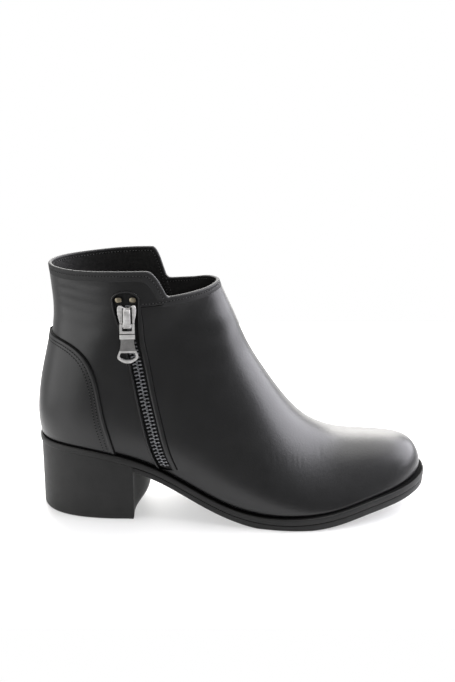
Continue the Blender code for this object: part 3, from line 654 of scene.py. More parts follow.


# Dark matt material for cut leather edges and the rim's ledge, also painted shade in the needle holes, the
# slider's grooves and leg, the pull's notch and along the counter's edge.
def edge_and_shade_paint():
    paint = Paint("cut_edge_and_painted_shade", (0.003, 0.003, 0.003), 0.8)
    paint.tint(paint.noise(1.5), (0.0022, 0.0022, 0.0022), (0.0045, 0.0045, 0.0045))
    paint.spread(paint.noise(0.8), 0.7, 0.9, "Roughness")
    paint.set("Specular IOR Level", 0.12)
    return paint.material


def metal_paint(name, dark, pale, metallic, sheen, lumps_mm, deep_mm):
    """A plated metal: its colours, its two ends of roughness and the lumps of its casting."""
    paint = Paint(name, pale, sheen[0], metallic)
    paint.tint(paint.noise(3.0, 3.0), dark, pale)
    paint.spread(paint.noise(2.0, 3.0), *sheen, "Roughness")
    paint.bump((paint.noise(lumps_mm, 2.0), deep_mm))
    return paint.material


LEATHER = leather_paint("black_leather", (0.30, 0.39))
FOLDED = leather_paint("folded_leather", (0.56, 0.66))
LINING, RUBBER = lining_paint(), rubber_paint()
TAPE, THREAD, EDGE_AND_SHADE = tape_paint(), thread_paint(), edge_and_shade_paint()
# Name, dark and pale colour, metallic, ends of the roughness, size and depth of the lumps
METALS = (
    ("cast_nickel", (0.5, 0.49, 0.48), (0.86, 0.85, 0.84), 0.55, (0.3, 0.44), 1.9, 0.2),
    ("bright_nickel", (0.66, 0.65, 0.64), (0.8, 0.79, 0.78), 0.6, (0.26, 0.36), 4.0, 0.05),
    ("dark_nickel", (0.14, 0.142, 0.15), (0.27, 0.272, 0.285), 1.0, (0.24, 0.36), 1.2, 0.03),
    ("satin_nickel", (0.25, 0.246, 0.243), (0.34, 0.334, 0.328), 0.8, (0.34, 0.42), 5.0, 0.02),
    ("pale_brass", (0.16, 0.13, 0.085), (0.45, 0.4, 0.3), 0.85, (0.3, 0.44), 1.6, 0.12),
)
CAST, NICKEL, STEEL, SATIN, BRASS = [metal_paint(*row) for row in METALS]


# Upper and lining

ROWS_FOOT, ROWS_SHAFT, COLUMNS = 201, 80, 111
# Rows crowd at the ball: where, how far round it, and how much more
BALL_X, BALL_REACH, BALL_MORE = 172.0, 16.0, 1.4
# Columns crowd at the rim: the even share of their spacing
COLUMN_EVEN = 0.75


def foot_rows(count):
    """Sections from toe tip to heel back, evenly along the rim but closer at the ball's creases."""
    edge = feather_line[LATERAL]
    steps = np.linalg.norm(np.diff(edge, axis=0), axis=1)
    middle = (edge[1:, 0] + edge[:-1, 0]) / 2
    weight = 1 + BALL_MORE * np.exp(-((middle - BALL_X) / BALL_REACH) ** 2)
    lengths = np.concatenate([[0.0], np.cumsum(steps * weight)])
    return np.interp(np.linspace(0.0, lengths[-1], count), lengths, feather_stations)


def upper_frame():
    """Points, normals and reliefs of the last under the upper: rows from toe tip to collar,
    columns from the lateral rim over the ridge to the medial rim."""
    foot = foot_rows(ROWS_FOOT)
    rise = np.linspace(0.0, 1.0, ROWS_SHAFT + 1)[1:]
    even = np.linspace(0.0, 1.0, COLUMNS)
    across = COLUMN_EVEN * even + (1 - COLUMN_EVEN) * even ** 2
    halves = []
    for side in SIDES:
        low = feather_angle(foot)
        low[0], low[-1] = math.pi, 0.0
        angles = low[:, None] + (math.pi - low[:, None]) * across
        stations = np.repeat(foot[:, None], COLUMNS, axis=1)
        level = math.pi * across
        top = collar_station(level, side)
        stations = np.vstack([stations, foot[-1] + rise[:, None] * (top - foot[-1])])
        angles = np.vstack([angles, np.repeat(level[None], ROWS_SHAFT, axis=0)])
        points = last_point(stations, angles, side)
        normals = last_normal(stations, angles, side)
        points[:ROWS_FOOT, 0, 2] = rim_top(points[:ROWS_FOOT, 0, 0]) + GAP
        halves.append(np.concatenate([points, normals, relief(points, side)[..., None]], -1))
    lateral, medial = halves
    lateral[:, -1] = medial[:, -1] = (lateral[:, -1] + medial[:, -1]) / 2
    return np.concatenate([lateral, medial[:, -2::-1]], axis=1)


def sheet_ids(shape, foot, first):
    """Point numbers of a sheet: the toe row is one point, and shaft rows close at the back."""
    ids = grid_ids(*shape, first)
    ids[0] = ids[0, 0]
    ids[foot - 1:, -1] = ids[foot - 1:, 0]
    return ids


def edge_faces(fine, coarse):
    """Faces between an edge and another with half its points, or as many."""
    ratio = (len(fine) - 1) // (len(coarse) - 1)
    return [
        [*fine[k * ratio:(k + 1) * ratio + 1], coarse[k + 1], coarse[k]]
        for k in range(len(coarse) - 1)
    ]


def shell(name, field, out, inner_field, inner_out, material):
    """A closed leather shell between two offsets from the last."""
    sheets, ids, first = [], [], 0
    for values, lift in ((field, out), (inner_field, inner_out)):
        offset = values[..., 6:7] + lift
        sheets.append((values[..., 0:3] + offset * values[..., 3:6]).reshape(-1, 3))
        foot = (ROWS_FOOT - 1) * (values.shape[0] - 1) // (field_rows - 1) + 1
        ids.append((sheet_ids(values.shape[:2], foot, first), foot))
        first += len(sheets[-1])
    (outer, outer_foot), (inner, inner_foot) = ids
    faces = quads(outer) + quads(inner) + edge_faces(outer[-1].tolist(), inner[-1].tolist())
    for column in (0, -1):
        fine, coarse = outer[:outer_foot, column].tolist(), inner[:inner_foot, column].tolist()
        faces += edge_faces(fine, coarse)
    return add_mesh(name, np.vstack(sheets), faces, material, SHARP_LEATHER)


# Points along each side and over the crown of the zip's opening, and round its cutter, whose near
# face and depth are across the shoe
SLOT_SIDE, SLOT_CROWN, CUTTER_POINTS = 160, 60, 150
CUTTER_NEAR, CUTTER_DEEP = -70.0, 58.0


def slot_path(count):
    """The zip's opening in the side view, from its rear foot over the keyhole to its front foot,
    with the direction out of the opening at each point."""
    low, high = KEYHOLE_SIDES[0][0], KEYHOLE_SIDES[-1][0]
    z = np.linspace(low, high, SLOT_SIDE)
    rear, front = keyhole_sides(z).T
    middle = zip_x(-z)
    turn = np.linspace(0.0, math.pi, SLOT_CROWN)[1:-1]
    reach = np.where(turn < math.pi / 2, rear[-1], front[-1])
    crown_x = middle[-1] - reach * np.cos(turn)
    crown_z = high + KEYHOLE_CROWN * np.sin(turn)
    x = np.concatenate([middle - rear, crown_x, (middle + front)[::-1]])
    path = np.column_stack([x, np.concatenate([z, crown_z, z[::-1]])])
    path = pick(path, even_steps(path, count))
    run = np.gradient(path, axis=0)
    return path, unit(np.column_stack([-run[:, 1], run[:, 0]]))


def slot_cutter():
    path, _ = slot_path(CUTTER_POINTS)
    near = np.insert(path, 1, CUTTER_NEAR, axis=1)
    points = np.vstack([near, near + (0.0, CUTTER_DEEP, 0.0)])
    return add_mesh("slot_cutter", points, tube_faces(grid_ids(2, len(path))), LEATHER)


upper_field = upper_frame()
field_rows = upper_field.shape[0]
half_field = upper_field[::2, ::2]


def make_upper():
    upper = shell("upper_leather", upper_field, 0.0, half_field, -LEATHER_THICK, LEATHER)
    combine(upper, slot_cutter(), "DIFFERENCE")
    smooth(upper.data, SHARP)
    finish_piece(upper, "leather", "upper")
    out = -LEATHER_THICK - LINING_GAP
    lining = shell("lining", half_field, out, half_field, out - LINING_THICK, LINING)
    combine(lining, slot_cutter(), "DIFFERENCE")
    finish_piece(lining, "lining")


COLLAR_FINE, COLLAR_POINTS = 1500, 360


def collar_ring(count):
    """Angles round the collar for each side, evenly spaced along its edge."""
    fine = np.linspace(0.0, math.pi, COLLAR_FINE)
    rings = {}
    for side in SIDES:
        edge = last_point(collar_station(fine, side), fine, side)
        rings[side] = np.interp(even_steps(edge, count), np.arange(len(fine)), fine)
    return rings


# The folded collar edge: distance below the edge, and out from the leather's face
COLLAR_FOLD = (
    (6.2, -0.12), (5.9, 0.0), (5.0, 0.07), (4.0, 0.14), (3.2, 0.19), (2.8, 0.12), (2.4, 0.03), (2.0, 0.12),
    (1.5, 0.24), (0.9, 0.27), (0.35, 0.2), (-0.08, 0.02), (-0.38, -0.3), (-0.53, -0.75), (-0.53, -1.2),
    (-0.38, -1.62), (-0.05, -1.95), (0.45, -2.1), (1.0, -2.08), (1.25, -1.85),
)


def make_collar_fold():
    angles = collar_ring(COLLAR_POINTS)
    rings = []
    for side in SIDES:
        half = [
            skin(collar_station(angles[side], side, inset), angles[side], side, out)
            for inset, out in COLLAR_FOLD
        ]
        half = np.stack(half, axis=1)
        rings.append(half if side == LATERAL else half[-2:0:-1])
    fold = add_tube("collar_fold", np.concatenate(rings), FOLDED, closed=True)
    finish_piece(fold, "leather")


# Rows of stitches

STITCH_LONG, STITCH_PITCH, STITCH_THICK = 1.35, 2.05, 0.26
# The needle's holes at a stitch's ends, dark discs of painted shade: radius, and how far they show over
# and reach under the row
HOLE_WIDE, HOLE_OVER, HOLE_DEEP = 0.42, 0.13, 0.5
# Along a stitch: share of its half length, share of its thickness, and how deep it dips
STITCH_FORM = (
    (-1.0, 0.30, -0.9), (-0.85, 0.75, -0.25), (-0.5, 1.0, 0.15), (0.0, 1.05, 0.25),
    (0.5, 1.0, 0.15), (0.85, 0.75, -0.25), (1.0, 0.30, -0.9),
)
STITCH_SIDES = 8


def stitch_points(path, normals, pitch):
    """Places, directions and normals at an even pitch along a path."""
    count = max(2, int(round(run_lengths(path)[-1] / pitch)))
    picks = even_steps(path, 2 * count + 1)
    places, normals = pick(path, picks), pick(normals, picks)
    keep = slice(1, None, 2)
    return places[keep], unit(np.gradient(places, axis=0)[keep]), unit(normals[keep])


def add_stitches(name, rows):
    """Threads and the holes at their ends, the holes dark discs of painted shade, along paths of (points,
    normals), as one mesh.
    """
    turn = np.linspace(0.0, 2 * math.pi, STITCH_SIDES, endpoint=False)
    points, threads, holes, first = [], [], [], 0
    form = np.array(STITCH_FORM)
    for path, normals in rows:
        for place, along, out in zip(*stitch_points(path, normals, STITCH_PITCH)):
            beside = np.cross(out, along)
            middle = place + form[:, :1] * along * STITCH_LONG / 2 + form[:, 2:] * STITCH_THICK * out
            ring = np.cos(turn)[:, None] * beside + np.sin(turn)[:, None] * out
            rings = middle[:, None] + STITCH_THICK * form[:, 1, None, None] * ring
            ids = grid_ids(len(form), STITCH_SIDES, first)
            threads += tube_faces(ids)
            points.append(rings.reshape(-1, 3))
            first += len(points[-1])
            mouth = HOLE_WIDE * (np.cos(turn)[:, None] * beside + np.sin(turn)[:, None] * along)
            end = place + along * STITCH_PITCH / 2
            points.append(np.vstack([end + HOLE_OVER * out + mouth, end - HOLE_DEEP * out]))
            ids = first + np.arange(STITCH_SIDES)
            holes += [ids.tolist()]
            holes += [[a, b, first + STITCH_SIDES] for a, b in zip(ids, np.roll(ids, -1))]
            first += len(points[-1])
    sewn = add_mesh(name, np.vstack(points), threads + holes, THREAD)
    # The holes take the dark material as painted shade.
    edge_and_shade_look(sewn, sewn.data.polygons[len(threads):])
    return finish_piece(sewn, "tape")


ROW_POINTS = 700


def collar_row(side, inset, out):
    """A line below the collar's edge, with its normals."""
    angles = np.linspace(0.0, math.pi, ROW_POINTS)
    stations = collar_station(angles, side, inset)
    return skin(stations, angles, side, out), last_normal(stations, angles, side)


def wall_row(x, z, out, side=LATERAL):
    station, angle = locate(x, z)
    return skin(station, angle, side, out), last_normal(station, angle, side)


# Distance below the collar's edge, and out from the leather's face, outside and on the lining
COLLAR_STITCH, STITCH_OUT, STITCH_IN = 2.4, -0.05, -1.9


def make_collar_stitches():
    rows = []
    for side in SIDES:
        rows.append(collar_row(side, COLLAR_STITCH, STITCH_OUT))
        path, normals = collar_row(side, COLLAR_STITCH, STITCH_IN)
        rows.append((path, -normals))
    add_stitches("collar_stitches", rows)


# The seam where the rear quarter laps over the front one, from the keyhole to the collar's notch:
# distance below the line, and out from the leather's face
SEAM_FOLD = (
    (-2.6, -0.2), (-2.2, 0.10), (-1.2, 0.22), (-0.3, 0.34), (0.15, 0.34), (0.4, 0.14), (0.95, 0.05),
    (1.05, -0.2),
)
# Strips of that fold that are cut leather
SEAM_CUT = (4, 5, 6)
SEAM_FROM, SEAM_TO, SEAM_DROP, SEAM_POINTS = 74.0, 93.0, 3.4, 90
# The length over which the seam fades at its front end, and how far it sinks there
SEAM_FADE, SEAM_SINK = 5.0, 0.2
# Its stitches: the points they span, their height over the line, and out from the face
SEAM_SEWN, SEAM_STITCH_UP, SEAM_STITCH_OUT = slice(2, 80), 1.1, 0.12


def seam_height(x):
    return collar_front[LATERAL](np.maximum(x, COLLAR_FRONT[LATERAL][0][0])) - SEAM_DROP


def make_front_seam():
    x = np.linspace(SEAM_FROM, SEAM_TO, SEAM_POINTS)
    fade = np.clip((SEAM_TO - x) / SEAM_FADE, 0.0, 1.0)
    rings = []
    for drop, out in SEAM_FOLD:
        lift = np.where(out > 0, out * fade - SEAM_SINK * (1 - fade), out)
        rings.append(wall_point(x, seam_height(x) - drop, lift))
    seam = add_tube("front_seam", np.stack(rings, axis=1), LEATHER, edge=SEAM_CUT)
    finish_piece(seam, "leather")
    sewn = x[SEAM_SEWN]
    row = wall_row(sewn, seam_height(sewn) + SEAM_STITCH_UP, SEAM_STITCH_OUT)
    add_stitches("front_seam_stitches", [row])


# The turned edge round the zip: share of its width out from the opening, and out from the face
ZIP_FOLD = (
    (-0.10, -1.9), (-0.14, -0.7), (-0.09, 0.05), (0.06, 0.45), (0.22, 0.6), (0.45, 0.6),
    (0.72, 0.56), (0.82, 0.46), (0.88, 0.2), (1.04, 0.04), (1.1, -0.1), (1.06, -0.8),
)
# Strips of that edge that are cut leather
FOLD_CUT = (7, 8, 9)
# Its width behind and before the zip, where along it the width turns and over what share of it
FOLD_REAR, FOLD_FRONT, FOLD_TURN, FOLD_TURN_LONG = 1.3, 3.3, 0.53, 0.09
FOLD_POINTS = 420


def make_zip_fold():
    path, away = slot_path(FOLD_POINTS)
    share = np.linspace(0.0, 1.0, FOLD_POINTS)
    turn = np.clip((share - FOLD_TURN) / FOLD_TURN_LONG, 0.0, 1.0)
    wide = FOLD_REAR + (FOLD_FRONT - FOLD_REAR) * turn * turn * (3 - 2 * turn)
    rings = []
    for part, out in ZIP_FOLD:
        place = path + (part * wide)[:, None] * away
        floor = rim_top(place[:, 0]) + GAP
        rings.append(wall_point(place[:, 0], np.maximum(place[:, 1], floor), out))
    fold = add_tube("zip_fold", np.stack(rings, axis=1), LEATHER, edge=FOLD_CUT)
    finish_piece(fold, "leather")


# Heel counter

COUNTER_ROWS, COUNTER_COLUMNS = 46, 110
# How its rows crowd towards its edge, how round that edge is, and where its underside lies
COUNTER_CROWD, COUNTER_ROUND, COUNTER_UNDER = 2.2, 1.4, -0.05
# Its rows of stitches: steps left free at the rim, depth, and distances in from the edge
STITCH_SKIP, STITCH_SUNK = 6, 0.1
COUNTER_STITCHES = (3.2, 5.1)
# Rows at its edge with the dark material, a cut edge widened into a painted shade line, and across the
# edge: distance in, half width and rise
EDGE_SHADE_ROWS = 6
COUNTER_SWELL = ((1.9, 0.7, 0.2), (COUNTER_STITCHES[0], 0.6, -0.12), (COUNTER_STITCHES[1], 0.6, -0.1))


def counter_frame(side, shares, columns):
    """Sections and angles over the counter, fanned from the back of the rim to its free edge,
    with each point's distance from that edge."""
    corners = np.array(COUNTER_EDGE)
    lengths = run_lengths(corners)
    along = np.linspace(0.0, 1.0, columns)
    edge = np.array(locate(*Spline(lengths / lengths[-1], corners)(along).T))
    behind = feather_line[side][:, 0] <= COUNTER_EDGE[0][0]
    foot = np.column_stack([feather_stations, feather_angles])[behind][::-1]
    foot = pick(foot, shares * (len(foot) - 1))
    foot[0] = HEEL_BACK, 0.0
    edge[:, 0], edge[1, -1] = foot[-1], 0.0
    pole = foot[0][:, None, None]
    fan = pole + shares[None, :, None] * (edge[:, None, :] - pole)
    fan = fan + (foot.T[:, :, None] - fan[:, :, :1]) * (1 - along) ** 2
    station, angle = fan
    under = station < HEEL_BACK
    angle = np.where(under, np.maximum(angle, feather_angle(np.minimum(station, HEEL_BACK))), angle)
    reach = np.linalg.norm(last_point(*edge, side) - last_point(HEEL_BACK, 0.0, side), axis=1)
    return station, angle, (1 - shares[:, None]) * reach[None]


def make_counter():
    even = np.linspace(0.0, 1.0, COUNTER_ROWS)
    shares = 1 - (1 - even) ** COUNTER_CROWD
    sheets = {True: [], False: []}
    rows = []
    for side in SIDES:
        station, angle, inside = counter_frame(side, shares, COUNTER_COLUMNS)
        bend = np.clip(1 - inside / COUNTER_ROUND, 0.0, 1.0)
        out = COUNTER_OUT - (1 - np.sqrt(1 - bend ** 2)) * COUNTER_OUT
        for place, half, rise in COUNTER_SWELL:
            out = out + rise * np.exp(-((inside - place) / half) ** 2)
        for top in (True, False):
            sheet = skin(station, angle, side, out if top else np.full_like(out, COUNTER_UNDER))
            sheets[top].append(sheet if side == LATERAL else sheet[:, -2::-1])
        reach = inside[0]
        station, angle, _ = counter_frame(side, np.array([0.0, 1.0]), COUNTER_COLUMNS)
        for inset in COUNTER_STITCHES:
            share = 1 - inset / reach[STITCH_SKIP:]
            sewn = HEEL_BACK + share * (station[1, STITCH_SKIP:] - HEEL_BACK)
            turn = share * angle[1, STITCH_SKIP:]
            path = skin(sewn, turn, side, np.full_like(turn, COUNTER_OUT - STITCH_SUNK))
            rows.append((path, last_normal(sewn, turn, side)))
    outer = np.concatenate(sheets[True], axis=1)
    inner = np.concatenate(sheets[False], axis=1)
    ids = grid_ids(*outer.shape[:2])
    ids[0] = ids[0, 0]
    under = ids + outer.shape[0] * outer.shape[1]
    faces = quads(ids) + quads(under) + quads([ids[-1], under[-1]])
    for column in (0, -1):
        faces += quads([ids[:, column], under[:, column]])
    points = np.vstack([outer.reshape(-1, 3), inner.reshape(-1, 3)])
    counter = add_mesh("counter_leather", points, faces, LEATHER, SHARP_LEATHER)
    # The rows at the free edge take the dark material: a real cut edge, widened with painted shade into a
    # dark line.
    strip = outer.shape[1] - 1
    dark_from, sheet_end = (COUNTER_ROWS - 1 - EDGE_SHADE_ROWS) * strip, (COUNTER_ROWS - 1) * strip
    edge_and_shade_look(counter, counter.data.polygons[dark_from:sheet_end])
    finish_piece(counter, "leather", "heel_counter")
    add_stitches("counter_stitches", rows)


# Sole

# Rings of a sole layer: out from the rim's edge, and height over the rim's top
RIM_PROFILE = (
    (-6.0, 0.0), (-2.6, 0.0), (-2.0, 0.05), (-1.4, 0.05), (-0.8, 0.02), (-0.38, -0.1), (-0.12, -0.35),
    (0.0, -0.75), (0.05, -1.7), (0.05, -2.6), (0.0, -3.75), (-0.08, -3.98), (-0.25, -4.14), (-0.7, -4.2),
)
# Strips of that profile that are the matt ledge
LEDGE_STRIPS = 4
# The ledge's knurls: pitch, depth, where they start and are full, and the rings they press down
KNURL_PITCH, KNURL_DEEP, KNURL_FROM, KNURL_FULL = 1.5, 0.32, 120.0, 175.0
KNURL_RINGS = (-2.7, -0.3)
RIM_COUNT = 760
SOLE_COUNT, SOLE_ACROSS = 420, 30
# The tread's grooves: pitch, width, depth and bow, their ends along x with the length of their
# fade, and the plain border as a share across with its fade
GROOVE_PITCH, GROOVE_WIDE, GROOVE_DEEP, GROOVE_BOW = 6.0, 1.8, 0.9, 0.005
GROOVE_FROM, GROOVE_TO, GROOVE_FADE = 128.0, 240.0, 4.0
BORDER, BORDER_FADE = 0.07, 0.03
# An x behind every point of the sole, for rings that go all round
ALL_ROUND = -100.0


def plan_side(side, more, count, from_x):
    """Evenly spaced outline points from the toe tip back to an x."""
    points = outline(side, more)
    ahead = points[points[:, 0] > from_x]
    if len(ahead) < len(points):
        after = points[len(ahead)]
        share = (from_x - ahead[-1, 0]) / (after[0] - ahead[-1, 0])
        ahead = np.vstack([ahead, ahead[-1] + share * (after - ahead[-1])])
    return pick(ahead, even_steps(ahead, count))


def plan_ring(more, count, from_x):
    """A closed ring: lateral side from the toe tip back, then the medial side forward again."""
    lateral = plan_side(LATERAL, more, count, from_x)
    medial = plan_side(MEDIAL, more, count, from_x)
    return np.vstack([lateral, medial[-2 if from_x < 0 else -1:0:-1]])


def cap_rows(ring, count):
    """Pairs of points across a ring, lateral and medial, from toe to heel."""
    total = len(ring)
    return [(ring[j], ring[(total - j) % total]) for j in range(count)]


def add_layer(name, rings, count, under=None):
    """A layer of the sole from rings, top to bottom, its underside shaped by a lift function."""
    total = len(rings[0])
    ids = grid_ids(len(rings), total)
    faces = tube_faces(ids, capped=False)
    points = [np.vstack(rings)]
    top = cap_rows(ids[0].tolist(), count)
    faces += [[a, b, d, c] for (a, b), (c, d) in zip(top, top[1:])]
    low = rings[-1]
    first = len(points[0])
    shares = np.linspace(0.0, 1.0, SOLE_ACROSS)
    last = ids[-1].tolist()
    rows = []
    for row, (a, b) in enumerate(cap_rows(list(range(total)), count)):
        if a == b:
            rows.append([last[a]] * SOLE_ACROSS)
        elif row == count - 1:
            faces.append([*rows[-1], last[b], last[a]])
        else:
            inner = low[a] + shares[1:-1, None] * (low[b] - low[a])
            if under:
                inner[:, 2] += under(inner[:, 0], inner[:, 1], shares[1:-1])
            rows.append([last[a], *range(first, first + len(inner)), last[b]])
            points.append(inner)
            first += len(inner)
    faces += quads(rows)
    return add_mesh(name, np.vstack(points), faces, RUBBER, SHARP_LAYER)


def make_rim():
    rings = []
    for more, drop in RIM_PROFILE:
        ring = plan_ring(more, RIM_COUNT, ALL_ROUND)
        height = rim_top(ring[:, 0]) + drop
        if KNURL_RINGS[0] < more < KNURL_RINGS[1]:
            wave = 0.5 - 0.5 * np.cos(2 * math.pi * run_lengths(ring) / KNURL_PITCH)
            fade = np.clip((ring[:, 0] - KNURL_FROM) / (KNURL_FULL - KNURL_FROM), 0.0, 1.0)
            height = height - KNURL_DEEP * wave * fade
        rings.append(np.column_stack([ring, height]))
    rim = add_layer("rim", rings, RIM_COUNT)
    edge_and_shade_look(rim, rim.data.polygons[:LEDGE_STRIPS * len(rings[0])])
    finish_piece(rim, "sole", "midsole")


def tread_lift(x, y, share):
    """Shallow grooves across the forepart, kept inside a plain border."""
    phase = (x + GROOVE_BOW * y * y) / GROOVE_PITCH % 1.0
    edge = np.clip(np.abs(phase - 0.5) * GROOVE_PITCH / GROOVE_WIDE * 2, 0.0, 1.0)
    groove = 1 - edge ** 4
    inside = np.clip((np.minimum(share, 1 - share) - BORDER) / BORDER_FADE, 0.0, 1.0)
    ahead = np.clip(np.minimum(x - GROOVE_FROM, GROOVE_TO - x) / GROOVE_FADE, 0.0, 1.0)
    return GROOVE_DEEP * groove * inside * ahead


# Rings of the outsole's edge: out from the rim's edge, share of the way down, and more height
OUTSOLE_PROFILE = (
    (-1.6, 0.0, 0.0), (-0.75, 0.0, -0.04), (-0.5, 0.0, -0.18), (-0.4, 0.0, -0.5), (-0.36, 0.4, 0.0),
    (-0.45, 1.0, 1.4), (-0.55, 1.0, 0.8), (-0.85, 1.0, 0.32), (-1.3, 1.0, 0.08), (-1.9, 1.0, 0.0),
)


def make_outsole():
    rings = []
    for more, share, lift in OUTSOLE_PROFILE:
        ring = plan_ring(more, SOLE_COUNT, BREAST_X + GAP)
        high = rim_top(ring[:, 0]) - RIM_THICK - GAP
        height = high + share * (tread(ring[:, 0]) - high) + lift
        rings.append(np.column_stack([ring, height]))
    outsole = add_layer("outsole_rubber", rings, SOLE_COUNT, tread_lift)
    finish_piece(outsole, "sole", "outsole")


# How the insole's middle dips at the heel: depth, where the dip ends and over what length
DISH_DEEP, DISH_TO, DISH_FADE = 0.8, 110.0, 40.0
# Rings of the insole: out from its edge inside the wall, and height
INSOLE_PROFILE = ((0.0, 0.0), (0.0, 1.7), (-0.15, 2.2), (-0.5, 2.45), (-1.0, 2.5))


def make_insole():
    rings = []
    for more, rise in INSOLE_PROFILE:
        ring = []
        for side in SIDES:
            edge = outline(side, -WALL - INSOLE_CLEAR + more)
            edge = edge - (outline(side, 0.0) - feather_line[side][:, 0:2])
            half = pick(edge, even_steps(edge, SOLE_COUNT // 2))
            ring.append(half if side == LATERAL else half[-2:0:-1])
        ring = np.vstack(ring)
        rings.append(np.column_stack([ring, rim_top(ring[:, 0]) + GAP + rise]))

    def dish(x, y, share):
        return -DISH_DEEP * np.sin(math.pi * share) ** 2 * np.clip((DISH_TO - x) / DISH_FADE, 0.0, 1.0)

    sock = add_layer("insole_sock", rings, SOLE_COUNT // 2, dish)
    sock.data.materials[0] = LINING
    finish_piece(sock, "lining", "insole")


# Heel block

HEEL_INSET_TOP, HEEL_INSET_FLOOR, HEEL_TALL = 0.75, 0.7, 52.0
HEEL_ROUND, BREAST_ACROSS = 110, 60
BREAST_SKEW, BREAST_ROUND, BREAST_SLACK = 3.0, 1.3, 0.01
# A first guess at the seat's height, and turns that settle each ring between floor and seat
SEAT_GUESS, SEAT_TURNS = 30.0, 12
# z, how far the middle of the breast swells forward
BREAST_SWELL = (
    (0.0, 0.0), (2.0, 0.6), (5.0, 3.2), (9.0, 8.0), (14.0, 10.4), (24.0, 11.0), (44.0, 11.0),
)
# Rings near the floor: in from the heel's side, and height
HEEL_FOOT = (
    (4.9, 0.0), (4.5, 0.7), (3.7, 0.7), (3.3, 0.0), (2.2, 0.0), (1.3, 0.15), (0.6, 0.55), (0.18, 1.2),
    (0.0, 2.0),
)
HEEL_LEVELS = 34
breast_swell = table_spline(BREAST_SWELL)


def heel_plan(z):
    """The heel's outline with a height for each point: round the back, then across the breast."""
    ends = []
    for inset in (HEEL_INSET_FLOOR, HEEL_INSET_TOP):
        sides = {}
        for side in SIDES:
            points = outline(side, -inset)
            front = BREAST_X - (BREAST_SKEW if side == MEDIAL else 0.0)
            corner = (front, np.interp(front, points[::-1, 0], points[::-1, 1]))
            behind = np.vstack([corner, points[points[:, 0] < front]])
            sides[side] = pick(behind, even_steps(behind, HEEL_ROUND))
        across = np.linspace(0.0, 1.0, BREAST_ACROSS)[1:-1, None]
        breast = sides[MEDIAL][0] + across * (sides[LATERAL][0] - sides[MEDIAL][0])
        ends.append(np.vstack([sides[LATERAL], sides[MEDIAL][-2::-1], breast]))
    ring = ends[0] + (np.asarray(z) / HEEL_TALL)[:, None] * (ends[1] - ends[0])
    swell = (1 - (2 * across[:, 0] - 1) ** 2) ** BREAST_ROUND
    ring[-len(swell):, 0] += breast_swell(np.asarray(z)[-len(swell):]) * swell
    return ring


def heel_top(ring):
    seat = rim_top(ring[:, 0]) - RIM_THICK - GAP
    waist = ring[:, 0] > BREAST_X + BREAST_SLACK
    return np.where(waist, np.minimum(seat, tread(ring[:, 0]) - GAP), seat)


def make_heel():
    count = 2 * HEEL_ROUND - 1 + BREAST_ACROSS - 2
    rings = []
    for inset, z in HEEL_FOOT:
        ring = heel_plan(np.full(count, z))
        run = np.roll(ring, -1, axis=0) - np.roll(ring, 1, axis=0)
        inward = unit(np.column_stack([run[:, 1], -run[:, 0]]))
        inward *= np.sign(((ring.mean(axis=0) - ring) * inward).sum())
        rings.append(np.column_stack([ring + inset * inward, np.full(count, z)]))
    foot = HEEL_FOOT[-1][1]
    for share in np.linspace(0.0, 1.0, HEEL_LEVELS)[1:]:
        z = np.full(count, foot + share * SEAT_GUESS)
        for _ in range(SEAT_TURNS):
            ring = heel_plan(z)
            z = foot + share * (heel_top(ring) - foot)
        rings.append(np.column_stack([ring, z]))
    ids = grid_ids(len(rings), count)
    heel = add_mesh("heel_block", np.vstack(rings), tube_faces(ids), RUBBER, SHARP_HEEL)
    finish_piece(heel, "sole", "heel")


# Zip

TAPE_ROWS, TAPE_COLUMNS = 150, 21
# The tape's ribs along the zip: height and count
TAPE_RIB, TAPE_RIBS = 0.12, 6
# How far the chain ends over the zip's foot, and steps to measure its length
CHAIN_END, CHAIN_FINE = 1.6, 600
# A tooth along its reach from the zip's middle: reach, half thickness, top and bottom out
TOOTH_FORM = (
    (-0.55, 0.30, -0.85, -1.50), (-0.30, 0.50, -0.58, -1.75), (0.35, 0.56, -0.45, -1.85),
    (0.85, 0.52, -0.62, -1.85), (1.15, 0.40, -1.00, -1.85), (1.60, 0.40, -1.00, -1.85),
    (1.90, 0.52, -0.62, -1.85), (2.60, 0.56, -0.48, -1.85), (3.00, 0.44, -0.72, -1.70),
)
# Its corners and waist as shares, and the step that gives the zip's direction at a tooth
TOOTH_CORNER, TOOTH_WAIST, TOOTH_STEP = 0.45, 0.7, 1.0
# A top stop: rings along it, sides, how square it is along and round, then its middle and half
# height out from the face, and how blunt its ends are
STOP_RINGS, STOP_SIDES, STOP_SQUARE, STOP_ROUND = 9, 16, 4, 0.6
STOP_OUT, STOP_RISE, STOP_BLUNT = -0.55, 0.75, 0.05


def make_zip_tape():
    crown = KEYHOLE_SIDES[-1][0]
    z = np.linspace(crown + KEYHOLE_CROWN + TAPE_MARGIN, ZIP_LINE[-1][1] - TAPE_END, TAPE_ROWS)
    rear, front = keyhole_sides(np.clip(z, KEYHOLE_SIDES[0][0], crown)).T + TAPE_MARGIN
    share = np.linspace(0.0, 1.0, TAPE_COLUMNS)
    x = zip_x(-z)[:, None] - rear[:, None] + share * (rear + front)[:, None]
    ridge = TAPE_RIB * np.cos(2 * math.pi * share * TAPE_RIBS)
    tops = []
    for out in (-WALL - GAP + ridge, -WALL - GAP - TAPE_THICK):
        tops.append(wall_point(x, z[:, None], out))
    ids = grid_ids(TAPE_ROWS, TAPE_COLUMNS)
    under = ids + ids.size
    faces = quads(ids) + quads(under)
    for index in (0, -1):
        faces += quads([ids[index], under[index]]) + quads([ids[:, index], under[:, index]])
    tape = add_mesh("tape_weave", np.vstack([t.reshape(-1, 3) for t in tops]), faces, TAPE)
    finish_piece(tape, "tape", "zip_tape")


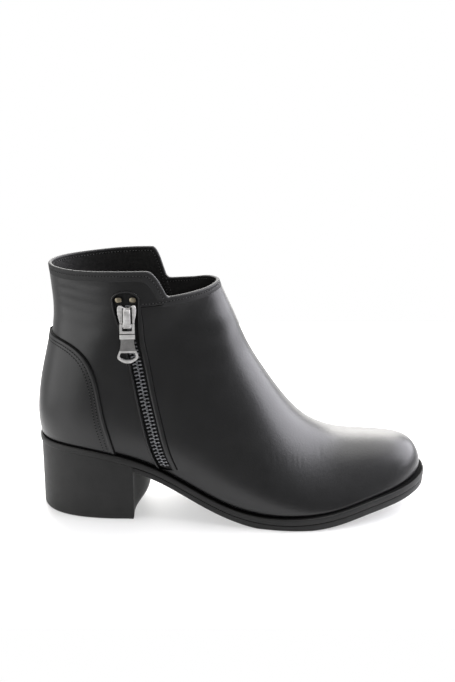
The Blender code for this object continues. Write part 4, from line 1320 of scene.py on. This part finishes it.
def zip_stations(offset):
    """Heights down the zip at the teeth's pitch, starting part of a pitch down."""
    z = np.linspace(CHAIN_TOP, ZIP_LINE[-1][1] + CHAIN_END, CHAIN_FINE)
    lengths = run_lengths(wall_point(zip_x(-z), z, 0.0))
    return np.interp(np.arange(offset * TOOTH_PITCH, lengths[-1], TOOTH_PITCH), lengths, z)


def tooth_ring(half, top, bottom):
    """Eight points round a tooth: along the zip, and out."""
    a, c = half, TOOTH_CORNER * half
    middle = bottom + (top - bottom) * TOOTH_WAIST
    return (
        (-a, bottom), (a, bottom), (a, middle), (a, top - c), (c, top), (-c, top), (-a, top - c),
        (-a, middle),
    )


def make_teeth(name, towards, offset):
    points, faces, first = [], [], 0
    form = np.array([[(u, v, w) for v, w in tooth_ring(h, t, b)] for u, h, t, b in TOOTH_FORM])
    for z in zip_stations(offset):
        place, out = wall_row(float(zip_x(-z)), z, 0.0)
        down = wall_point(float(zip_x(TOOTH_STEP - z)), z - TOOTH_STEP, 0.0) - place
        down = unit(down - down.dot(out) * out)
        across = towards * np.cross(out, down)
        rings = place + form[..., 0:1] * across + form[..., 1:2] * down + form[..., 2:3] * out
        ids = grid_ids(*rings.shape[:2], first)
        faces += tube_faces(ids)
        points.append(rings.reshape(-1, 3))
        first += len(points[-1])
    teeth = add_mesh(name, np.vstack(points), faces, STEEL, SHARP_TOOTH)
    finish_piece(teeth, "nickel", "zip_chain_front" if towards > 0 else "zip_chain_rear")


def make_top_stops():
    for node, middle in STOP_PLACES:
        z = np.linspace(STOP_HIGH, STOP_LOW, STOP_RINGS)
        bend = np.linspace(-1.0, 1.0, STOP_RINGS) ** STOP_SQUARE
        crown = np.sqrt(np.clip(1 - bend, STOP_BLUNT, 1.0))
        rings = []
        for turn in np.linspace(0.0, 2 * math.pi, STOP_SIDES, endpoint=False):
            x = zip_x(-z) + middle + STOP_HALF * crown * math.cos(turn)
            rise = math.copysign(abs(math.sin(turn)) ** STOP_ROUND, math.sin(turn))
            rings.append(wall_point(x, z, STOP_OUT + STOP_RISE * crown * rise))
        stop = add_tube(node + "_clamp", np.stack(rings, axis=1), BRASS)
        finish_piece(stop, "brass", node)


def pull_frame():
    """The pull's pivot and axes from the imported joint: across, up the wall and out of the leather."""
    joint = frame["joints"][0]
    pivot = Vector(joint["pos_m"])
    across = -Vector(joint["axis"]).normalized()
    low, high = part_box("zip_pull")
    up = pivot - (Vector(low) + Vector(high)) / 2
    up = (up - up.dot(across) * across).normalized()
    axes = Matrix((across, up, across.cross(up))).transposed().to_4x4()
    return Matrix.Translation(pivot) @ axes


PULL_FRAME = pull_frame()


def add_local(name, outline_points, low, high, material, turned=False):
    """A prism in the pull's frame: an outline across and up pushed out, or turned to push across."""
    points = []
    for depth in (low, high):
        points += [(depth, a, b) if turned else (a, b, depth) for a, b in outline_points]
    points = [PULL_FRAME @ (Vector(point) * MM) for point in points]
    faces = tube_faces(grid_ids(2, len(outline_points)))
    return link_mesh(name, points, faces, material, SHARP_PRISM)


def cut_local(thing, outline_points, low, high, material):
    combine(thing, add_local("cutter", outline_points, low, high, material), "DIFFERENCE")


# Segments of a rounded metal edge, and the turn in degrees from which edges are rounded
SOFT_SEGMENTS, SOFT_FROM = 3, 28


def soften(thing, width):
    """Rounds a metal piece's edges."""
    modifier = thing.modifiers.new("round", "BEVEL")
    modifier.width = width * MM
    modifier.segments = SOFT_SEGMENTS
    modifier.limit_method = "ANGLE"
    modifier.angle_limit = math.radians(SOFT_FROM)
    modifier.use_clamp_overlap = True
    return applied(thing, SHARP_ROUNDED)


def shade_faces(thing, material, chosen):
    """Gives a material to the faces picked by their place up and out in the pull's frame."""
    slots = [m.name for m in thing.data.materials]
    if material.name not in slots:
        thing.data.materials.append(material)
        slots.append(material.name)
    inverse = PULL_FRAME.inverted()
    for face in thing.data.polygons:
        place = inverse @ face.center / MM
        if chosen(place.y, place.z):
            face.material_index = slots.index(material.name)


def round_box(half_wide, low, high, radius, steps=5):
    """An upright box with round corners, as outline points."""
    points = []
    corners = ((half_wide, high, 0), (-half_wide, high, 1), (-half_wide, low, 2), (half_wide, low, 3))
    for x, y, quarter in corners:
        centre_x = x - math.copysign(radius, x)
        centre_y = y - radius if quarter < 2 else y + radius
        for step in range(steps + 1):
            turn = (quarter + step / steps) * math.pi / 2
            points.append((centre_x + radius * math.cos(turn), centre_y + radius * math.sin(turn)))
    return points


def mirrored(half):
    """An outline from its half on one side."""
    return list(half) + [(-x, y) for x, y in half[::-1] if x]


SLIDER_BASE, SLIDER_TOP, SLIDER_HALF = -0.1, 1.5, 5.9
# Widths of the rounded edges
SLIDER_SOFT, BRIDGE_SOFT, PULL_SOFT, BLOCK_SOFT = 0.45, 0.35, 0.3, 0.35
# The right half of the slider's plate, from its foot: across as a share of its half width, up
SLIDER_PLATE = (
    (0.70, -1.7), (0.76, 0.6), (0.82, 3.0), (0.92, 5.4), (0.99, 7.5), (1.0, 9.4), (0.98, 11.2),
    (0.88, 12.3), (0.70, 12.6), (0.48, 12.0), (0.24, 11.0),
)
# The bridge over the pull's bar, in the plane across the bar: up, and out from the pivot
BRIDGE_HALF, BRIDGE_FOOT = 2.2, 0.6
BRIDGE_OUTSIDE = (
    (10.4, -1.1), (10.2, -0.3), (9.8, 0.3), (9.2, 0.6), (3.4, 1.3), (2.7, 1.65), (1.8, 1.9), (-1.1, 2.0),
    (-1.7, 1.75), (-2.1, 1.2),
)
# The room under the bridge: its top and foot along the wall, and its roof
BRIDGE_ROOM = (1.7, -1.15, 1.25)
# Grooves beside the bridge, their faces painted dark as shade: from and to across, foot, top and depth
SLIDER_GROOVES = ((-2.8, -2.2, 1.6, 11.0, 0.6), (2.2, 3.3, 0.6, 11.6, 0.8))


def make_slider():
    base, top = SLIDER_BASE - PIVOT_OUT, SLIDER_TOP - PIVOT_OUT
    plate = mirrored([(share * SLIDER_HALF, up) for share, up in SLIDER_PLATE])
    slider = soften(add_local("slider_body", plate, base, top, CAST), SLIDER_SOFT)
    # The grooves' cut faces take the dark material as painted shade.
    for left, right, foot, crown, deep in SLIDER_GROOVES:
        corners = ((left, foot), (right, foot), (right, crown), (left, crown))
        cut_local(slider, corners, top - deep, top + deep, EDGE_AND_SHADE)
    low = top - BRIDGE_FOOT
    above, below, roof = BRIDGE_ROOM
    inside = [(BRIDGE_OUTSIDE[-1][0], low), (below, low), (below, roof), (above, roof), (above, low)]
    arch = inside + [(BRIDGE_OUTSIDE[0][0], low)] + list(BRIDGE_OUTSIDE)
    bridge = add_local("slider_bridge", arch, -BRIDGE_HALF, BRIDGE_HALF, CAST, turned=True)
    combine(slider, soften(bridge, BRIDGE_SOFT), "UNION")
    # Painted shade: the bridge's leg below the pull's bar takes the dark material.
    shade_faces(slider, EDGE_AND_SHADE, lambda up, out: up < below and out > top)
    finish_piece(slider, "nickel", "zip_slider")


# The left half of the pull, from its bar to the middle of its ring end: across, up
PULL_BAR = 1.5
PULL_EDGE = (
    (-4.7, 0.75), (-4.7, -5.2), (-4.5, -5.45), (-4.7, -5.7), (-4.7, -8.3), (-4.15, -8.8), (-4.15, -10.5),
    (-4.35, -13.0), (-4.7, -15.0), (-5.2, -16.4), (-5.85, -18.2), (-6.4, -19.6), (-6.6, -20.6),
    (-6.2, -21.5), (-5.2, -22.5), (-3.8, -23.5), (-2.0, -24.3), (0.0, -24.6),
)
# The pull's eye: half width, foot, top and corner radius
PULL_EYE = (3.0, -3.4, -0.75, 0.5)
# The left half of the ring's opening
PULL_RING = (
    (-4.1, -17.6), (-4.6, -18.0), (-4.9, -18.8), (-5.05, -20.0), (-4.85, -20.8), (-4.2, -21.4),
    (-2.8, -22.2), (-1.4, -22.6), (0.0, -22.75),
)
# Raised block and sunk plate: half width, foot, top and corner radius, then how far out each runs
PULL_BLOCK, BLOCK_OUT = (4.75, -8.3, -5.6, 0.3), (-0.9, 1.15)
PULL_PLATE, PLATE_OUT = (8.0, -16.4, -8.6, 0.1), (0.42, 3.0)
# A notch across the pull over its block, its faces painted dark as shade: foot and top, corner radius, and
# out from the middle
PULL_NOTCH, NOTCH_CORNER, NOTCH_OUT = (-5.75, -5.1), 0.1, 0.2


def make_pull():
    half_bar = PULL_BAR / 2
    pull = add_local("pull_tab", mirrored(PULL_EDGE), -half_bar, half_bar, SATIN)
    for hole in (round_box(*PULL_EYE), mirrored(PULL_RING)):
        cut_local(pull, hole, -PULL_BAR, PULL_BAR, SATIN)
    notch = round_box(2 * PULL_PLATE[0], *PULL_NOTCH, NOTCH_CORNER)
    cut_local(pull, notch, NOTCH_OUT, PULL_BAR, SATIN)
    cut_local(pull, round_box(*PULL_PLATE), *PLATE_OUT, SATIN)
    soften(pull, PULL_SOFT)
    block = add_local("pull_block", round_box(*PULL_BLOCK), *BLOCK_OUT, SATIN)
    combine(pull, soften(block, BLOCK_SOFT), "UNION")
    shade_faces(pull, NICKEL, lambda up, out: not PULL_PLATE[1] < up < PULL_PLATE[2])
    # Painted shade: the notch's faces take the dark material.
    shade_faces(pull, EDGE_AND_SHADE, lambda up, out: PULL_NOTCH[0] < up < PULL_NOTCH[1] and out < half_bar)
    finish_piece(pull, "nickel", "zip_pull", body="pull")


# Lining seam inside the medial wall, under the collar's notch

LINING_SEAM_X, LINING_SEAM_HIGH, LINING_SEAM_LOW, LINING_SEAM_LEAN = 86.0, 148.5, 100.0, 0.36
LINING_SEAM_POINTS = 120
# Across the seam: along x from its line, and out from the leather's face
LINING_STRIP = ((-2.2, -1.9), (-1.6, -2.25), (0.0, -2.4), (1.6, -2.25), (2.2, -1.9))
# Its two rows of stitches: along x from its line, and out from the leather's face
LINING_ROWS, LINING_SEWN_OUT = (-1.2, 1.2), -2.2


def make_lining_seam():
    z = np.linspace(LINING_SEAM_HIGH, LINING_SEAM_LOW, LINING_SEAM_POINTS)
    x = LINING_SEAM_X + (LINING_SEAM_HIGH - z) * LINING_SEAM_LEAN
    rows = [wall_point(x + across, z, out, MEDIAL) for across, out in LINING_STRIP]
    seam = add_tube("lining_seam", np.stack(rows, axis=1), LINING)
    finish_piece(seam, "lining")
    sewn = []
    for across in LINING_ROWS:
        path, normals = wall_row(x + across, z, LINING_SEWN_OUT, MEDIAL)
        sewn.append((path, -normals))
    add_stitches("lining_stitches", sewn)


# Camera, light and floor

# The photo's height and focal length in pixels, and the sensor's height
PHOTO_HIGH, FOCAL_PIXELS, SENSOR = 682, 1106.0, 36.0
CAMERA_PLACE, CAMERA_PITCH = (128.0, -690.0, 341.0), 18.3


def make_camera():
    data = bpy.data.cameras.new("camera")
    data.sensor_width = SENSOR
    data.lens = SENSOR * FOCAL_PIXELS / PHOTO_HIGH
    camera = bpy.data.objects.new("camera", data)
    camera.location = to_world(CAMERA_PLACE)
    camera.rotation_euler = (math.radians(90 - CAMERA_PITCH), 0.0, 0.0)
    bpy.context.scene.collection.objects.link(camera)
    bpy.context.scene.camera = camera


# Soft boxes: name, place, aim, width, height, watts, colour
SOFT_BOXES = (
    ("overhead", (0.0, 0.15, 1.3), (0.02, 0.0, 0.0), 1.4, 1.0, 12.0, (1.0, 0.99, 0.97)),
    ("behind", (-0.02, 1.15, 0.92), (0.0, 0.0, 0.05), 1.35, 0.9, 33.0, (1.0, 0.985, 0.96)),
    ("backdrop", (0.0, 1.15, 0.22), (0.0, 0.0, 0.05), 1.5, 0.55, 8.0, (1.0, 0.985, 0.96)),
    ("right", (0.97, 0.25, 0.68), (0.0, 0.0, 0.07), 1.4, 1.2, 37.0, (0.95, 0.94, 1.0)),
    ("left", (-0.95, -0.42, 0.22), (-0.05, 0.0, 0.08), 1.6, 1.0, 8.5, (1.0, 1.0, 1.0)),
)


def make_lights():
    for name, place, aim, wide, high, watts, colour in SOFT_BOXES:
        data = bpy.data.lights.new(name, "AREA")
        data.shape = "RECTANGLE"
        data.size, data.size_y = wide, high
        data.energy = watts
        data.color = colour
        light = bpy.data.objects.new(name, data)
        light.location = place
        light.visible_camera = False
        light.rotation_euler = (Vector(aim) - Vector(place)).to_track_quat("-Z", "Y").to_euler()
        bpy.context.scene.collection.objects.link(light)


# The studio's light from the front to the back: where it starts and ends to rise, then its ends
WORLD_RAMP = {"From Min": -0.2, "From Max": 0.9, "To Min": 0.32, "To Max": 0.80}
WHITE = (1.0, 1.0, 1.0, 1.0)


def make_world():
    """A white backdrop all round, darker in reflections from the front, as in a studio."""
    world = bpy.data.worlds.new("studio")
    world.use_nodes = True
    bpy.context.scene.world = world
    tree = world.node_tree
    nodes, join = tree.nodes, tree.links.new
    shine = nodes["Background"]
    place = nodes.new("ShaderNodeTexCoord")
    parts = nodes.new("ShaderNodeSeparateXYZ")
    ramp = nodes.new("ShaderNodeMapRange")
    for socket, value in WORLD_RAMP.items():
        ramp.inputs[socket].default_value = value
    join(place.outputs["Generated"], parts.inputs["Vector"])
    join(parts.outputs["Y"], ramp.inputs["Value"])
    join(ramp.outputs["Result"], shine.inputs["Strength"])
    shine.inputs["Color"].default_value = WHITE
    white = nodes.new("ShaderNodeBackground")
    white.inputs["Color"].default_value = WHITE
    rays = nodes.new("ShaderNodeLightPath")
    mix = nodes.new("ShaderNodeMixShader")
    join(rays.outputs["Is Camera Ray"], mix.inputs["Fac"])
    join(shine.outputs["Background"], mix.inputs[1])
    join(white.outputs["Background"], mix.inputs[2])
    join(mix.outputs["Shader"], nodes["World Output"].inputs["Surface"])


# The floor's ends: left, right, front and back
FLOOR_ENDS = (-0.26, 0.26, -0.16, 0.4)
FLOOR_TONE, FLOOR_GLOW = (0.5, 0.5, 0.5), 0.47
# The ends of its roughness, and the size in mm of the patches
FLOOR_ROUGH, FLOOR_PATCH = (0.5, 0.6), 60.0


def make_floor():
    paint = Paint("pale_floor", FLOOR_TONE, FLOOR_ROUGH[0])
    paint.spread(paint.noise(FLOOR_PATCH), *FLOOR_ROUGH, "Roughness")
    paint.set("Emission Color", WHITE)
    paint.set("Emission Strength", FLOOR_GLOW)
    left, right, front, back = FLOOR_ENDS
    points = [(left, front, 0.0), (right, front, 0.0), (right, back, 0.0), (left, back, 0.0)]
    floor = link_mesh("floor", points, [[0, 1, 2, 3]], paint.material, SHARP)


def main():
    make_camera()
    make_upper()
    make_collar_fold()
    make_collar_stitches()
    make_front_seam()
    make_zip_fold()
    make_counter()
    make_rim()
    make_outsole()
    make_insole()
    make_heel()
    make_lining_seam()
    make_zip_tape()
    make_teeth("teeth_front", 1, 0.0)
    make_teeth("teeth_rear", -1, 0.5)
    make_top_stops()
    make_slider()
    make_pull()
    make_lights()
    make_world()
    make_floor()
    scene = bpy.context.scene
    scene.view_settings.view_transform = "Standard"
    scene.view_settings.look = "None"


main()
